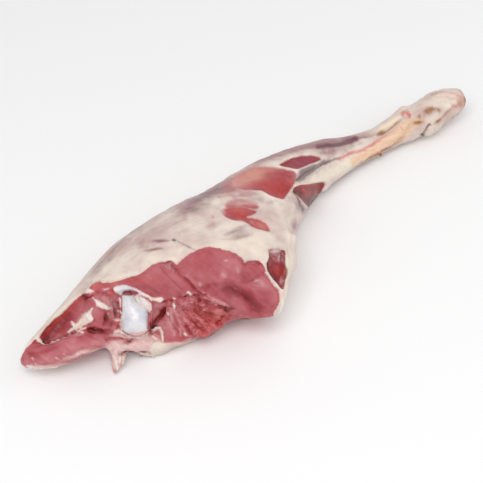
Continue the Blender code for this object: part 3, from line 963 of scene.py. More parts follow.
GREY_MARKS = [
    (190, 211, 11, 6, -25, 0.5), (208, 195, 12, 3.4, -28, 0.7), (205, 205, 7, 5, 0, 0.3),
    (222, 189, 8, 2, -16, 0.4), (236, 232, 12, 1.8, -14, 0.6), (240, 238, 10, 1.8, -12, 0.5),
    (240, 228, 8, 1.4, -14, 0.4), (301, 176.6, 9, 3.8, -42, 1.1), (309, 171.6, 11, 3.2, -36, 1.1),
    (316, 167, 13, 2.2, -34, 0.8), (303, 170.8, 9, 1.5, -30, 0.7), (424, 131, 1.4, 5, 34, 0.5),
    (326, 162, 12, 1.8, -20, 0.6), (271, 203, 5, 2.4, -10, 0.5), (298, 206, 3, 8, -28, 0.5),
    (302, 212, 3, 4, -20, 0.5), (289, 200, 4, 3, 30, 0.5), (275, 249, 7, 1.6, 0, 0.35),
    (362, 137.6, 9, 1.2, -10, 0.8), (102, 268, 24, 2, -46, 0.4), (140, 226, 26, 2, -42, 0.45),
    (173.6, 240, 2, 1.5, 0, 1.1), (184, 244.8, 9, 0.9, 24, 0.5), (232, 199, 12, 1.4, -10, 0.3),
    (197, 201, 5, 3, -30, 0.4), (146, 247, 8, 1, -10, 0.4), (340, 141, 24, 1.6, -10, 0.3),
]
PURPLE_LINES = [
    ([(318, 147), (330, 145.8), (340, 144.4), (348, 142), (355, 138.8)], 2.4, 1.2),
    ([(297, 179), (305, 173.4), (314, 168)], 1.1, 0.7),
    ([(320, 165.5), (334, 160), (340, 158.4)], 1.0, 0.6),
    ([(153, 242.4), (168, 240.6)], 1.0, 0.5),
    ([(146, 251.4), (162, 249)], 1.0, 0.5),
    ([(200, 195), (218, 189)], 1.2, 0.4),
    ([(294, 192), (299, 202), (303, 209)], 1.1, 0.6),
    ([(98, 268), (112, 252), (126, 238)], 1.2, 0.3),
]
# Cream fat and painted highlights: most marks are thick fat, and the ones on the lip above the cut,
# along the knee window's lower edge and on the hock are painted highlights.
CREAM_AND_HIGHLIGHT_MARKS = [
    (100, 279.6, 14, 2, -6, 0.7), (126, 276, 22, 2.2, -14, 0.7), (172, 259.6, 7, 2, 0, 1.0),
    (205, 203, 3, 3, 0, 0.7), (202, 207, 3, 1.4, 0, 0.8), (274, 212, 20, 9, 30, 0.35),
    (290, 244, 5, 24, 0, 0.6), (320, 178, 22, 4, -28, 0.9), (190, 248, 20, 4, -10, 0.5),
    (250, 250, 14, 4, 24, 0.8), (127, 247, 18, 1.1, -48, 0.8), (262, 244, 14, 6, 0, 0.4),
    (270, 197.6, 8, 1.6, 14, 1.0), (344, 166, 20, 4.4, -30, 1.3), (150, 258, 14, 4, -20, 0.4),
    (290, 262, 4, 12, 0, 0.7), (176, 222, 14, 1.3, -24, 0.6), (160, 230, 10, 1.2, -24, 0.5),
    (225, 184.6, 9, 1.2, -12, 0.7), (268, 237, 20, 3, -10, 0.3), (345, 149.5, 14, 2, -16, 0.5),
    (306, 174.4, 11, 0.9, -33, 1.1), (306, 178.4, 10, 0.8, -38, 0.8), (315, 172, 10, 0.8, -34, 0.8),
    (172, 222.6, 12, 1.2, -24, 0.5), (108, 272, 16, 8, -40, 0.4), (158, 346.4, 10, 5, 0, 1.0),
    (152, 356.6, 7, 4, 0, 1.0), (60, 310, 30, 3, -45, 0.5), (28, 346, 5, 3, -40, 0.7),
    (210, 211, 7, 4, 0, 0.4), (242, 198, 22, 1.2, -4, 0.5), (449, 104, 8, 5, -40, 1.0),
    (438, 100, 12, 5, -20, 0.5), (428, 120.6, 6, 4, 0, 0.6), (417.6, 101.6, 4, 2, -30, 0.5),
    (458, 101, 3, 5, 0, 0.6),
]
patchy = ramp(uneven(points * (0.5, 1, 1), 26, 41, 3), 0.0, 0.75)
mauve = np.clip(spots(MAUVE_MARKS), 0, 1.1) * seen + 0.75 * patchy * (1 - seen)
dry = ramp(uneven(points * (0.4, 1, 1), 15, 47, 2), 0.2, 0.9)
grey = spots(GREY_MARKS) * seen + 0.4 * dry * (1 - seen)
purple = lines(PURPLE_LINES) * seen
cream = np.clip(spots(CREAM_AND_HIGHLIGHT_MARKS) * seen, 0, 1)
print("mauve on average", round(float(mauve.mean()), 2))

# %% [markdown]
# The shank's bare bone is peach, its tendon almost white, and the hock is stained brown
# and pink where the joint was. On the far side, which can't be seen, the same stains are
# spread by chance, and only past the start of the hock.

# %% Tint the shank and the hock
SHIN_BONE = [
    (350, 161), (354, 156.4), (360, 152.6), (368, 148.4), (378.7, 141), (392, 131.4), (402.7, 122.7),
    (410.7, 118.7), (420, 119), (422, 122), (414, 128), (406, 136.6), (397.4, 142.4), (384, 148),
    (374, 155), (363, 160), (354, 165.4),
]
bone = only_seen(patch(places, SHIN_BONE))
TENDON = [
    (377, 132), (382, 126.6), (390, 121), (398.7, 116.6), (402, 118.4), (396, 123.6), (388, 129),
    (381, 133),
]
tendon = only_seen(patch(places, TENDON))
BROWN_MARKS = [
    (381, 133, 4.4, 2, -20, 1.0), (392, 126.6, 12, 1.1, -38, 0.9), (368, 158.4, 16, 1.4, -31, 0.8),
    (388, 147.4, 13, 1.5, -28, 0.7), (427.4, 112.2, 4.4, 2.8, -24, 0.8),
    (431.6, 109.8, 3.6, 1.6, -10, 0.6), (438, 110.8, 2.4, 2.2, 0, 0.6),
    (418.8, 116.6, 1.8, 1.8, 0, 0.8), (417.6, 122.2, 3.4, 1.8, -5, 0.9), (417, 122.6, 6, 2.6, -8, 0.35),
    (122, 355.6, 3, 2, 0, 0.6), (286.4, 271.4, 0.9, 3, 0, 0.9), (422, 116, 8, 5, 0, 0.06),
    (446, 120, 8, 3, -30, 0.2), (464, 100, 1.4, 5, 0, 1.0), (462, 93, 5, 1.2, 45, 0.5),
    (447, 112.8, 11, 1.5, -42, 0.45), (439, 121.6, 3, 1.2, -10, 0.2), (460, 103, 3, 7, 0, 0.5),
    (437, 121.4, 4, 1.3, -30, 0.7), (408, 126, 6, 2, -44, 0.3), (405, 111, 8, 0.9, -30, 0.4),
    (401, 137, 6, 2.4, -40, 0.4), (426, 129, 1.2, 5, 34, 0.3), (452, 99, 4, 1.2, -30, 0.35),
    (433, 111, 7, 2.4, -16, 0.3), (438, 110.6, 2, 2, 0, 0.4), (414, 103, 5, 0.9, -30, 0.4),
    (436, 94, 10, 0.9, -14, 0.4), (379.4, 153.8, 1.6, 1.4, 0, 0.6), (430, 108, 3, 1, 0, 0.4),
    (372, 137, 3, 1.2, -10, 0.3), (453, 118, 3, 1, -40, 0.6), (421, 106, 4, 0.9, -20, 0.3),
]
BLUSH_LINES = [
    ([(340, 159.4), (346, 156), (352, 153), (361, 150.6), (368, 147), (378, 140.6)], 1.7, 0.75),
    ([(378, 140.6), (386, 135), (396, 127.6)], 0.9, 0.35),
    ([(402.4, 114.6), (404, 112.8), (407.6, 112.8), (409.6, 115.4)], 1.5, 1.0),
    ([(408, 114), (409.8, 116)], 1.5, 1.3),
    ([(440, 93.4), (448, 92.6), (456, 94.6)], 1.5, 0.45),
    ([(455, 94.6), (460.4, 98)], 1.8, 0.6),
    ([(457, 99), (459, 104), (455, 107)], 1.8, 0.6),
    ([(462.6, 98), (463.4, 104)], 1.4, 0.6),
    ([(455, 106), (447, 113), (438, 121)], 1.8, 0.3),
    ([(420, 110), (426, 108), (432, 107.4)], 1.2, 0.3),
    ([(400, 128), (402, 130)], 1.0, 0.4),
    ([(212, 216.8), (212.6, 218.3)], 0.9, 0.7),
    ([(378.6, 151.6), (379.2, 153)], 1.2, 1.2),
    ([(340, 157.6), (344, 155.6)], 1.1, 0.6),
    ([(224, 186), (236, 182), (244, 180)], 2.4, 0.4),
    ([(405, 118), (415, 113), (420, 112)], 1.2, 0.25),
    ([(424, 128), (434, 124)], 1.4, 0.15),
    ([(219, 198), (230, 196), (244, 197)], 1.6, 0.35),
    ([(222, 214), (228, 218), (240, 222)], 1.2, 0.3),
    ([(98, 281), (112, 280.6), (128, 277)], 0.8, 0.25),
    ([(418, 140), (428, 137)], 1.0, 0.2),
    ([(226, 189), (231, 184), (237, 177)], 3.0, 0.5),
    ([(228, 190), (240, 190.6), (250, 192)], 2.6, 0.4),
    ([(226, 196.4), (238, 198)], 1.6, 0.3),
    ([(166, 344.6), (174, 344), (190, 341)], 1.3, 0.3),
    ([(436, 98), (446, 97), (455, 99)], 1.6, 0.22),
    ([(440, 118), (448, 113), (455, 108)], 1.4, 0.3),
]
brown = np.clip(spots(BROWN_MARKS), 0, 1.3) * seen
blush = lines(BLUSH_LINES) * seen
HOCK_START = 186.0
hock = ramp(points[:, 0], HOCK_START, HOCK_START + 12)
brown += 0.5 * hock * (1 - seen) * ramp(uneven(points, 7, 71, 2), 0.35, 0.9)
blush += 0.5 * hock * (1 - seen) * ramp(uneven(points, 11, 75, 2), 0.3, 0.9)
print("hock starts at", HOCK_START, "mm")

# %% [markdown]
# A few short lines are nearly black: painted shade in the slit of the hock, dried blood in
# the notch and at the root of the scrap, and a scratch in the fat. They go over every other
# colour.

# %% Draw the few dark lines
DARK_LINES = [
    ([(269, 251), (280, 250.4)], 3.0, 0.16),
    ([(269.6, 250.2), (272, 249.6)], 0.9, 0.5),
    ([(269.6, 255), (270.6, 258.6), (269.8, 261.6)], 1.2, 0.4),
    ([(281.6, 252.6), (283, 257), (283.6, 262)], 1.2, 0.4),
    ([(276.6, 254), (281, 252.8)], 0.8, 0.35),
    ([(272.6, 262.6), (277, 264)], 0.9, 0.3),
    ([(212, 216.8), (212.6, 218)], 0.8, 0.3),
    # Painted shade: a nearly black line in the slit of the hock.
    ([(422, 134.4), (422.6, 135.6)], 1.8, 1.0),
    ([(430, 124.6), (426, 128), (423, 131.6), (422, 135)], 0.8, 0.5),
    ([(172.8, 239.6), (174.4, 240.2)], 1.0, 0.55),
    ([(175, 240.6), (184, 244.8), (194, 249)], 0.5, 0.06),
    ([(451.8, 117.6), (457.6, 112.8)], 0.8, 0.4),
    ([(119, 354.4), (122, 355)], 1.3, 0.5),
    ([(463.4, 97), (464.4, 104)], 0.9, 0.3),
    ([(432, 94.4), (438, 92.4)], 0.8, 0.25),
    ([(379.4, 154.4), (379.8, 156)], 1.0, 0.5),
]
dark = lines(DARK_LINES) * seen
print("dark points", int((dark > 0.3).sum()))

# %% [markdown]
# The carving moves each point along its own facing. Hollows go in, lips and cords come
# out, and every surface keeps a little unevenness of its own. Folds this size could be
# faked with bumps in the material, but their shadows would stay away and the outline of
# the meat would be too smooth. Each fold has its path, its half width in pixels, and how
# many mm it stands out, or goes in where the number is below zero.

# %% Draw the creases and ridges
CREASES = [
    ([(172, 266), (180, 275), (188, 283.4), (196, 291)], 1.8, -0.8),
    ([(184, 277.6), (190, 284), (195.6, 289.6), (199, 295)], 1.4, -1.3),
    ([(187.6, 277), (193, 283), (198, 288)], 1.0, -0.6),
    ([(160, 268), (170, 278), (182, 291)], 1.3, -0.7),
    ([(245, 263), (242.6, 270), (244, 277), (249, 281.6), (258, 277.6), (265, 272.6)], 2.2, -0.8),
    ([(203, 287.6), (211, 285.6), (220, 284.6), (230, 285.6)], 2.4, -0.7),
    ([(226, 289), (237, 290.6), (246, 297), (254, 305), (260, 312.6)], 5.0, -1.0),
    ([(197.5, 298.5), (199, 300.5), (199.4, 303)], 1.2, -1.6),
    ([(218, 306.4), (222, 307.4), (226, 309.6)], 1.2, -1.0),
    ([(228.6, 308.6), (232, 309), (235, 309.4)], 1.0, -0.8),
    ([(194, 322), (197.5, 325.5), (201, 328.6)], 1.4, -1.8),
    ([(222.6, 317), (221, 320), (218.6, 323)], 1.2, -1.6),
    ([(209.6, 313), (213, 314.6), (216.6, 314.4)], 1.0, -1.4),
    ([(163, 303), (172, 301), (184, 298), (196, 296), (206, 295)], 1.5, -1.3),
    ([(163, 311), (170, 322), (178, 333)], 1.3, -1.2),
    ([(164.2, 308.4), (161.6, 314.6), (157, 321.4), (152.8, 327)], 1.3, -1.8),
    ([(150, 324), (152.4, 329), (150.6, 334)], 1.5, -1.8),
    ([(90, 308), (89, 314), (93, 321)], 1.3, -1.2),
    ([(105.6, 310), (107.6, 317), (104, 325)], 1.5, -1.3),
    ([(89, 329.4), (95, 331.6), (102, 331.8)], 1.6, -1.6),
    ([(126, 292.4), (130, 293), (135.6, 294.4)], 1.8, -0.7),
    ([(43.6, 341.4), (48.6, 342.4), (58, 338.4), (66, 335), (75, 330.6)], 1.2, -2.4),
    ([(106, 338), (110, 344), (112, 350)], 1.3, -1.2),
    ([(123.6, 341.6), (127.6, 342.6), (131, 341.6)], 1.5, -2.2),
    ([(119, 353), (135, 354), (150, 353)], 1.1, -1.8),
    ([(174, 240), (184, 244.6), (195, 250)], 0.9, -0.9),
    ([(293, 192), (300.5, 206), (304.4, 213)], 1.4, -1.4),
    ([(213, 186), (200, 193), (185, 203), (172, 212)], 1.8, -0.6),
    ([(219, 199), (230, 196), (246, 196.6), (262, 200)], 1.6, -0.9),
    ([(429, 124.6), (426, 129), (422, 136)], 1.2, -2.4),
    ([(454, 106), (446, 113), (437, 121.4)], 2.0, -1.0),
    ([(418, 109), (430, 105), (446, 100)], 1.8, -0.8),
    ([(412, 128), (420, 122), (424, 116)], 1.6, -0.9),
    ([(378, 135), (388, 129), (398, 122), (404, 117)], 1.8, -1.4),
    ([(440, 98), (448, 103), (456, 106)], 1.6, -0.8),
    ([(340, 160), (351, 153), (360, 151), (368, 147), (379, 140), (392, 131)], 1.0, -0.9),
    ([(320, 153), (334, 151), (350, 147), (364, 141)], 1.6, -0.8),
    ([(297, 179.4), (306, 173), (316, 167)], 1.1, -1.0),
    ([(303, 181), (313, 174), (324, 167.6)], 1.1, -0.8),
    ([(320, 165), (334, 160), (342, 158)], 1.2, -0.9),
    ([(268, 264), (272, 273), (281, 287)], 1.2, -0.8),
    ([(273, 266), (276, 274), (279, 282)], 1.6, -0.8),
    ([(281, 266), (281.6, 273), (280, 280)], 1.0, -0.5),
    ([(287.4, 250), (288.4, 260), (290, 272)], 1.1, -0.7),
    ([(228, 231.4), (240, 227.6), (252, 226.6)], 1.6, -0.5),
    ([(228, 239), (240, 235.6), (252, 235)], 1.8, -0.5),
    ([(113, 298), (115, 306), (116, 314)], 1.2, -0.5),
    ([(97, 292), (108, 296), (112, 302)], 1.2, -0.9),
    ([(82, 295), (85, 298.6), (92, 295)], 1.4, -1.6),
    ([(27, 353), (38, 352), (50, 348)], 1.4, -0.4),
    ([(150.6, 312), (152, 319), (150.6, 325)], 1.3, -1.4),
    ([(380, 151), (390, 146), (400, 142)], 1.3, -0.6),
]
RIDGES = [
    ([(139, 234), (128, 245), (116, 258), (104, 270)], 1.6, 0.6),
    ([(260, 191.4), (270, 197), (283, 201)], 1.4, 0.9),
    ([(380, 130), (390, 123.6), (400, 117.6)], 3.0, 1.5),
    ([(344, 165), (365, 154.6), (382, 145), (395, 135), (406, 125)], 4.5, 1.0),
    ([(290, 199), (296, 208), (299, 217)], 2.0, 0.9),
    ([(210, 203.6), (226, 200.4), (242, 199)], 2.2, 0.7),
    ([(222, 222.6), (236, 223.6), (250, 229), (262, 234)], 2.2, 0.8),
    ([(222, 243), (240, 246), (254, 253)], 3.5, 0.6),
    ([(402, 115), (407, 111.6), (411, 116)], 1.8, 1.0),
    ([(416, 125), (424, 128.6), (430, 133)], 3.0, 0.8),
    ([(426, 107), (436, 105), (446, 106)], 3.4, 1.0),
    ([(430, 120), (438, 116), (446, 108)], 3.2, 0.9),
    ([(457, 94), (463, 100), (461, 108)], 2.6, 0.8),
    ([(262, 280), (270, 288), (276, 298)], 4.0, 0.5),
    ([(34, 350), (56, 344), (76, 337)], 2.4, 0.6),
    ([(378.4, 151.4), (379.4, 154)], 1.5, 2.4),
    ([(266, 273), (272, 281), (279.4, 290)], 1.3, 0.9),
    ([(186, 275.6), (192, 282), (197, 287)], 0.9, 0.8),
    ([(301, 181.6), (308, 176), (318, 169.6)], 1.0, 0.6),
    ([(203, 293.6), (213, 299), (223, 303)], 1.5, 1.2),
    ([(112, 340), (122, 346), (134, 348), (146, 345)], 2.4, 0.7),
    ([(270, 250.6), (276, 250), (280, 252)], 1.4, 0.7),
    ([(243, 171.6), (256, 168), (272, 167.6), (290, 170)], 1.0, 0.4),
    ([(206, 201), (210, 205), (204, 208)], 1.6, 0.8),
]
print("creases", len(CREASES), "ridges", len(RIDGES))

# %% [markdown]
# In the torn part, cords of muscle fan out from under the joint. Ten of them are placed one
# by one by a loop, each between its two ends with a little sag. Between them, sharp folds
# come from the lattice, laid out in turns and distances from the fan's start.

# %% Spread the cords of the fan
FAN_START = (171.0, 307.0)
FAN_ENDS = [
    (174, 336), (181, 337), (188, 337), (195, 336), (202, 336), (209, 332), (216, 328), (222, 320),
    (228, 314), (230, 306),
]


def fan_cords():
    """Cords that spread from under the joint, each sagging a little to its own side."""
    cords = []
    for number, end in enumerate(FAN_ENDS):
        start = np.array(FAN_START) + (number * 1.6, -number * 0.9)
        run = np.array(end) - start
        sag = np.array((-run[1], run[0])) * 0.07 * (-1) ** number
        cords.append(([start + run * 0.12, start + run * 0.5 + sag, start + run * 0.97], 1.5, 1.5))
    return cords


print("cords", len(fan_cords()))
cords = lines(fan_cords()) * seen * (0.6 + 0.6 * ramp(uneven(points, 9, 91), -0.4, 0.5))


def fan_folds(fineness, seed):
    """Sharp folds that run out from under the joint, like the ribs of a fan."""
    away = places - FAN_START
    turn = np.arctan2(away[:, 1], away[:, 0])
    spread = np.stack([np.hypot(*away.T) / 13, turn * 6.5, points[:, 2] / 60], axis=1) * fineness
    return 0.55 - 1.5 * abs(lattice(spread, seed)) - 0.7 * abs(lattice(spread * (1.6, 2.2, 1), seed + 2))


LUMPS = [
    (205.5, 334, 3.4, 3.2, 0, 1.4), (217, 311, 3, 2.2, 0, 1.2), (106, 317.5, 2, 3, 0, -0.8),
    (97, 298, 3, 2, 0, 0.8), (84, 297, 3, 3, 0, -1.2), (259, 269, 6, 4.6, 20, 0.6),
    (170, 322, 5, 9, 10, 0.9), (153.4, 334, 3, 2, 0, 0.8), (95, 286, 3.6, 3, 0, 0.8),
    (436, 101, 9, 4, -20, 0.8),
]

# %% [markdown]
# Now everything that was drawn goes into the skin. The fat lies one step above the muscle,
# and its cut edge rolls out into a lip, because cold fat is stiff and stands off the knife.
# The flesh pulls are the only marks that move points sideways: they draw in the skirt, the
# side of the knee and its flap where the solid is a little fuller than the real leg.
# Nothing may end up below the table.
# Each pull has its place across and down, half width, half height, and mm right and up.

# %% Carve the marks into the skin
FAT_STEP = 1.0
LIP = 0.6
WINDOW_DEPTH = 0.8
FAT_WAVES = 0.55
FAT_DIMPLES = 0.22
MUSCLE_STRANDS = 0.34
MUSCLE_WAVES = 0.3
GRISTLE_HEIGHT = 0.7
FLESH_PULLS = [
    (135, 359, 11, 4, (0.0, 5.4)), (300, 247, 6, 12, (-3.0, 0.0)), (294, 281, 5, 5, (-4.0, 0.0)),
]


def skin_level():
    """How high the skin lies in mm: fat above muscle, its edge rolled, the windows sunk."""
    fat = 1 - ramp(bare, -1.0, 0.5)
    level = FAT_STEP * fat * seen - FAT_STEP / 2
    level += LIP * np.exp(-((bare + 1.6) / 1.4) ** 2) * seen
    level -= WINDOW_DEPTH * ramp(window, 0, 2.5)
    return level + fat * (FAT_WAVES * uneven(points, 24, 3) + FAT_DIMPLES * uneven(points, 8, 5))


def skin_relief():
    """How far each mark stands out or goes in, in mm."""
    run = places[:, 0] + places[:, 1] * 0.7
    across = places[:, 0] * 0.7 - places[:, 1]
    strands = uneven(np.stack([run / 22, across / 4.6], axis=1), 1.0, 11)
    made = ramp(bare, 0, 3) * seen * (MUSCLE_STRANDS * strands + MUSCLE_WAVES * uneven(points, 15, 21))
    made += torn * (fan_folds(1.0, 17) + 0.35 * fan_folds(2.1, 27) + 0.5 * uneven(points, 5, 31, 2))
    made += (lines(CREASES) + lines(RIDGES) + spots(LUMPS)) * seen + cords
    made += GRISTLE_HEIGHT * ramp(white, -0.6, 1.6) * (bare > -1)
    made += 0.5 * veil_and_painted_light * uneven(places / (5.0, 2.2), 1.0, 37)
    return made + hock * (0.6 * uneven(points, 8, 43) + 0.4 * uneven(points, 3.5, 44))


def carve(out):
    """Moves each point out by its own amount, and then to the side where flesh is pulled."""
    moved = points + facing * out[:, None]
    for x, y, wide, high, (right, up) in FLESH_PULLS:
        pull = spot(places, x, y, wide, high) * reachable
        moved += pull[:, None] * (right * RIGHT + up * UP)
    moved[:, 2] = np.maximum(moved[:, 2], 0.0)
    move_corners(flesh.data, moved)


relief = skin_relief()
carve(skin_level() + relief)
print("carved between", round(relief.min(), 2), "and", round(relief.max(), 2), "mm")

# %% [markdown]
# Painted shade and highlight: what goes in is painted a deeper red, and the fat in it
# greyer, as shade would lie there, and what stands out is painted paler, as a lit ridge;
# the folds of the torn fan are painted the same way. Then all the numbers are stored on
# the skin, one layer for each, and the material only has to read them.

# %% Paint the numbers on the skin
# Painted shade and highlight: deeper red in hollows and in the folds of the torn fan, paler red on
# ridges.
shade = shade - (0.17 * relief + 0.16 * torn * fan_folds(2.1, 27)) * (bare > 0)
# Painted shade: greyer fat in the creases.
grey = grey + 0.28 * np.clip(-relief, 0, 1.5) * (bare < 0)
PAINTED = {
    "bare": bare, "calm": calm, "dark": dark, "shade": shade, "warm": warm, "torn": torn,
    "white": white, "veil_and_painted_light": veil_and_painted_light, "glaze": glaze, "mauve": mauve, "grey": grey, "purple": purple,
    "cream": cream, "bone": bone, "tendon": tendon, "brown": brown, "blush": blush,
}
for name, values in PAINTED.items():
    paint(flesh.data, name, values)
print("painted layers", len(PAINTED))


# %% [markdown]
# Meat scatters light under its wet surface, so each finish here has a little subsurface
# colour and a thin clear coat. The fat and the muscle share one material, which reads the
# painted numbers, because no two pieces of skin meet at a seam that way.
# First come the colours, as they look on a screen, and the grain: noises from soft clouds
# down to single threads, which every part of the meat shares.

# %% Name the colours of the meat
FAT_PALE = tone(230, 216, 204)
FAT_PINK = tone(214, 190, 181)
FAT_STREAK = tone(196, 176, 172)
FAT_CREAM = tone(240, 228, 210)
MUSCLE_BELOW = tone(162, 116, 120)
DRY_FILM = tone(112, 92, 98)
VEIN_PURPLE = tone(104, 58, 74)
BONE_PEACH = tone(238, 208, 178)
BONE_TAN = tone(232, 186, 152)
TENDON_CREAM = tone(236, 220, 196)
BLOOD_PINK = tone(216, 92, 90)
MUSCLE_SILVER = tone(208, 138, 142)
MUSCLE_PINK = tone(177, 85, 92)
MUSCLE_CRIMSON = tone(145, 40, 46)
MUSCLE_DARK = tone(84, 4, 10)
FRESH_ORANGE = tone(190, 52, 38)
FILM_MAUVE = tone(154, 78, 98)
THREAD_PINK = tone(222, 160, 156)
FLECK_PINK = tone(232, 176, 164)
VEIL_WHITE = tone(232, 204, 198)
GLAZE_PEACH = tone(212, 150, 132)
GRISTLE_WHITE = tone(242, 234, 226)
GRISTLE_PINK = tone(228, 202, 192)
LIGAMENT_BLUE = tone(222, 220, 225)
STAIN_BROWN = tone(150, 94, 42)
NEARLY_BLACK = tone(52, 44, 42)
ALONG_LEG = (0.97, -0.24, 0.0)
ALONG_MUSCLE = (0.578, -0.554, -0.599)


class Grain:
    """The noises that all parts of the meat share, each round one half but for ragged."""

    def __init__(self, g):
        self.cloud = g.noise(38, 3, 0.5)
        self.blotch = g.noise(110, 3, 0.55)
        self.fleck = g.noise(330, 2, 0.5, None, 0.8)
        self.ragged = g.noise(420, 4, 0.65) - 0.5
        self.fine = g.noise(900, 3, 0.6)
        self.strands = g.noise(230, 4, 0.6, g.stretched(ALONG_LEG, 6), 0.5)
        self.fibre = g.noise(230, 4, 0.65, g.stretched(ALONG_MUSCLE, 5), 0.6)
        self.threads = g.noise(800, 3, 0.6, g.stretched(ALONG_MUSCLE, 8), 0.3)


# %% [markdown]
# The fat is built up as it is on the leg, from the inside out: pale and pinkish clouds,
# streaks along the leg, thick cream, then the mauve, grey and purple of what lies below.
# The grey also carries painted shade in the creases of the fat, and the cream a few painted
# highlights. Over it come the shank's bare bone, the tendon and the pink of old blood.

# %% Mix the colour of the fat
def fat_colour(g, grain):
    """Cream fat with mauve muscle, grey membrane and purple veins showing through, and painted shade and
    highlights.
    """
    streaks = (grain.strands * 0.6 + grain.blotch * 0.5 - 0.5).clamped()
    # Thick cream fat, and painted highlights where the cream marks stand for them.
    thick_fat_and_highlight = (g.attribute("cream") * (grain.blotch + 0.45)).clamped()
    below = g.attribute("mauve") * (grain.blotch * 0.9 + 0.55)
    below = (below + (grain.strands - 0.5) * 0.3 + (grain.cloud - 0.5) * 0.8 - 0.05).clamped()
    # Dry film, and painted shade in the creases of the fat.
    grey_film_and_shade = g.attribute("grey") * (grain.blotch * 0.8 + 0.6)
    grey_film_and_shade = (grey_film_and_shade + (grain.strands - 0.5) * 0.25 + (grain.blotch - 0.5) * 0.7 - 0.05).clamped()
    vein = (g.attribute("purple") * (grain.strands + 0.6)).clamped()
    colour = g.mix(grain.cloud.step(0.3, 0.7), FAT_PALE, FAT_PINK)
    colour = g.mix(streaks * 0.9, colour, FAT_STREAK)
    colour = g.mix(thick_fat_and_highlight * 0.8, colour, FAT_CREAM)
    colour = g.mix(below * 0.85, colour, MUSCLE_BELOW)
    colour = g.mix(grey_film_and_shade * 0.8, colour, DRY_FILM)
    return g.mix(vein * 0.85, colour, VEIN_PURPLE)


def shank_colour(g, grain, fat):
    """The bare shin bone, the tendon and the pink of the hock, over the fat."""
    is_bone = (g.attribute("bone") + grain.ragged * 2).step(-2.4, 1.6)
    is_tendon = (g.attribute("tendon") + grain.ragged * 2).step(-1.4, 1.0)
    peach = g.mix(grain.strands.step(0.35, 0.65), BONE_PEACH, BONE_TAN)
    blood = (g.attribute("blush") * (grain.blotch + 0.6) + grain.ragged * 0.4 - 0.04).clamped()
    colour = g.mix(is_bone * 0.85, fat, peach)
    colour = g.mix(is_tendon, colour, TENDON_CREAM)
    return g.mix(blood * 0.75, colour, BLOOD_PINK)


# %% [markdown]
# Bare muscle runs through four reds by one number, its depth, which the fibres ruffle most
# where it is torn. One red made lighter and darker would look like paint: real muscle turns
# silvery where it is smooth and crimson, not black, where it is deep. That depth also holds
# painted shade in hollows and folds and painted highlights on ridges and the dome, and the
# veil holds painted glints and painted light round the foot of the ball.

# %% Mix the colours of muscle and gristle
def muscle_colour(g, grain):
    """Four reds by depth with painted shade and highlights, a lean to orange or mauve, pale threads, and
    the thin films.
    """
    torn = g.attribute("torn")
    warm = g.attribute("warm")
    glaze = g.attribute("glaze")
    # The depth holds painted shade and painted highlights from the shade layer.
    depth = g.attribute("shade") + (grain.cloud - 0.5) * 0.2 + (grain.blotch - 0.5) * 0.35
    depth = (depth + (grain.fibre - 0.5) * (torn * 0.6 + 0.12) + torn * grain.ragged).clamped()
    thread = (grain.threads - 0.58).clamped() * (torn * 1.3 + 0.25)
    fleck = (torn + 0.3).clamped() * grain.fleck.step(0.62, 0.74)
    # The veil also carries painted glints and painted light round the foot of the ball.
    veil_and_painted_light = (g.attribute("veil_and_painted_light") + (grain.fibre - 0.5) * 0.9 + grain.ragged * 0.7 - 0.16).clamped()
    colour = g.mix(depth.step(0.0, 0.5), MUSCLE_SILVER, MUSCLE_PINK)
    colour = g.mix(depth.step(0.4, 0.75), colour, MUSCLE_CRIMSON)
    colour = g.mix(depth.step(0.7, 1.1), colour, MUSCLE_DARK)
    colour = g.mix(warm.clamped() * 0.55, colour, FRESH_ORANGE)
    colour = g.mix((warm * -1).clamped() * 0.5, colour, FILM_MAUVE)
    colour = g.mix(thread, colour, THREAD_PINK)
    colour = g.mix(fleck * 0.45, colour, FLECK_PINK)
    colour = g.mix(veil_and_painted_light * 0.92, colour, VEIL_WHITE)
    return g.mix((glaze + (grain.blotch - 0.5) * glaze).clamped(), colour, GLAZE_PEACH)


def gristle_colour(g, grain):
    """White tissue, blue-white where it is ligament."""
    cool = (g.attribute("warm") * -1.4).clamped()
    dapple = (grain.fine * 0.5 + grain.blotch * 0.6).step(0.4, 0.7)
    return g.mix(cool * 0.9, g.mix(dapple, GRISTLE_WHITE, GRISTLE_PINK), LIGAMENT_BLUE)


# %% [markdown]
# Last the parts are laid over each other. Their edges are made ragged by fine noise, so fat
# ends in crumbs and not in a drawn line, except round the windows, where the knife went
# through cleanly and the edge is kept calm.

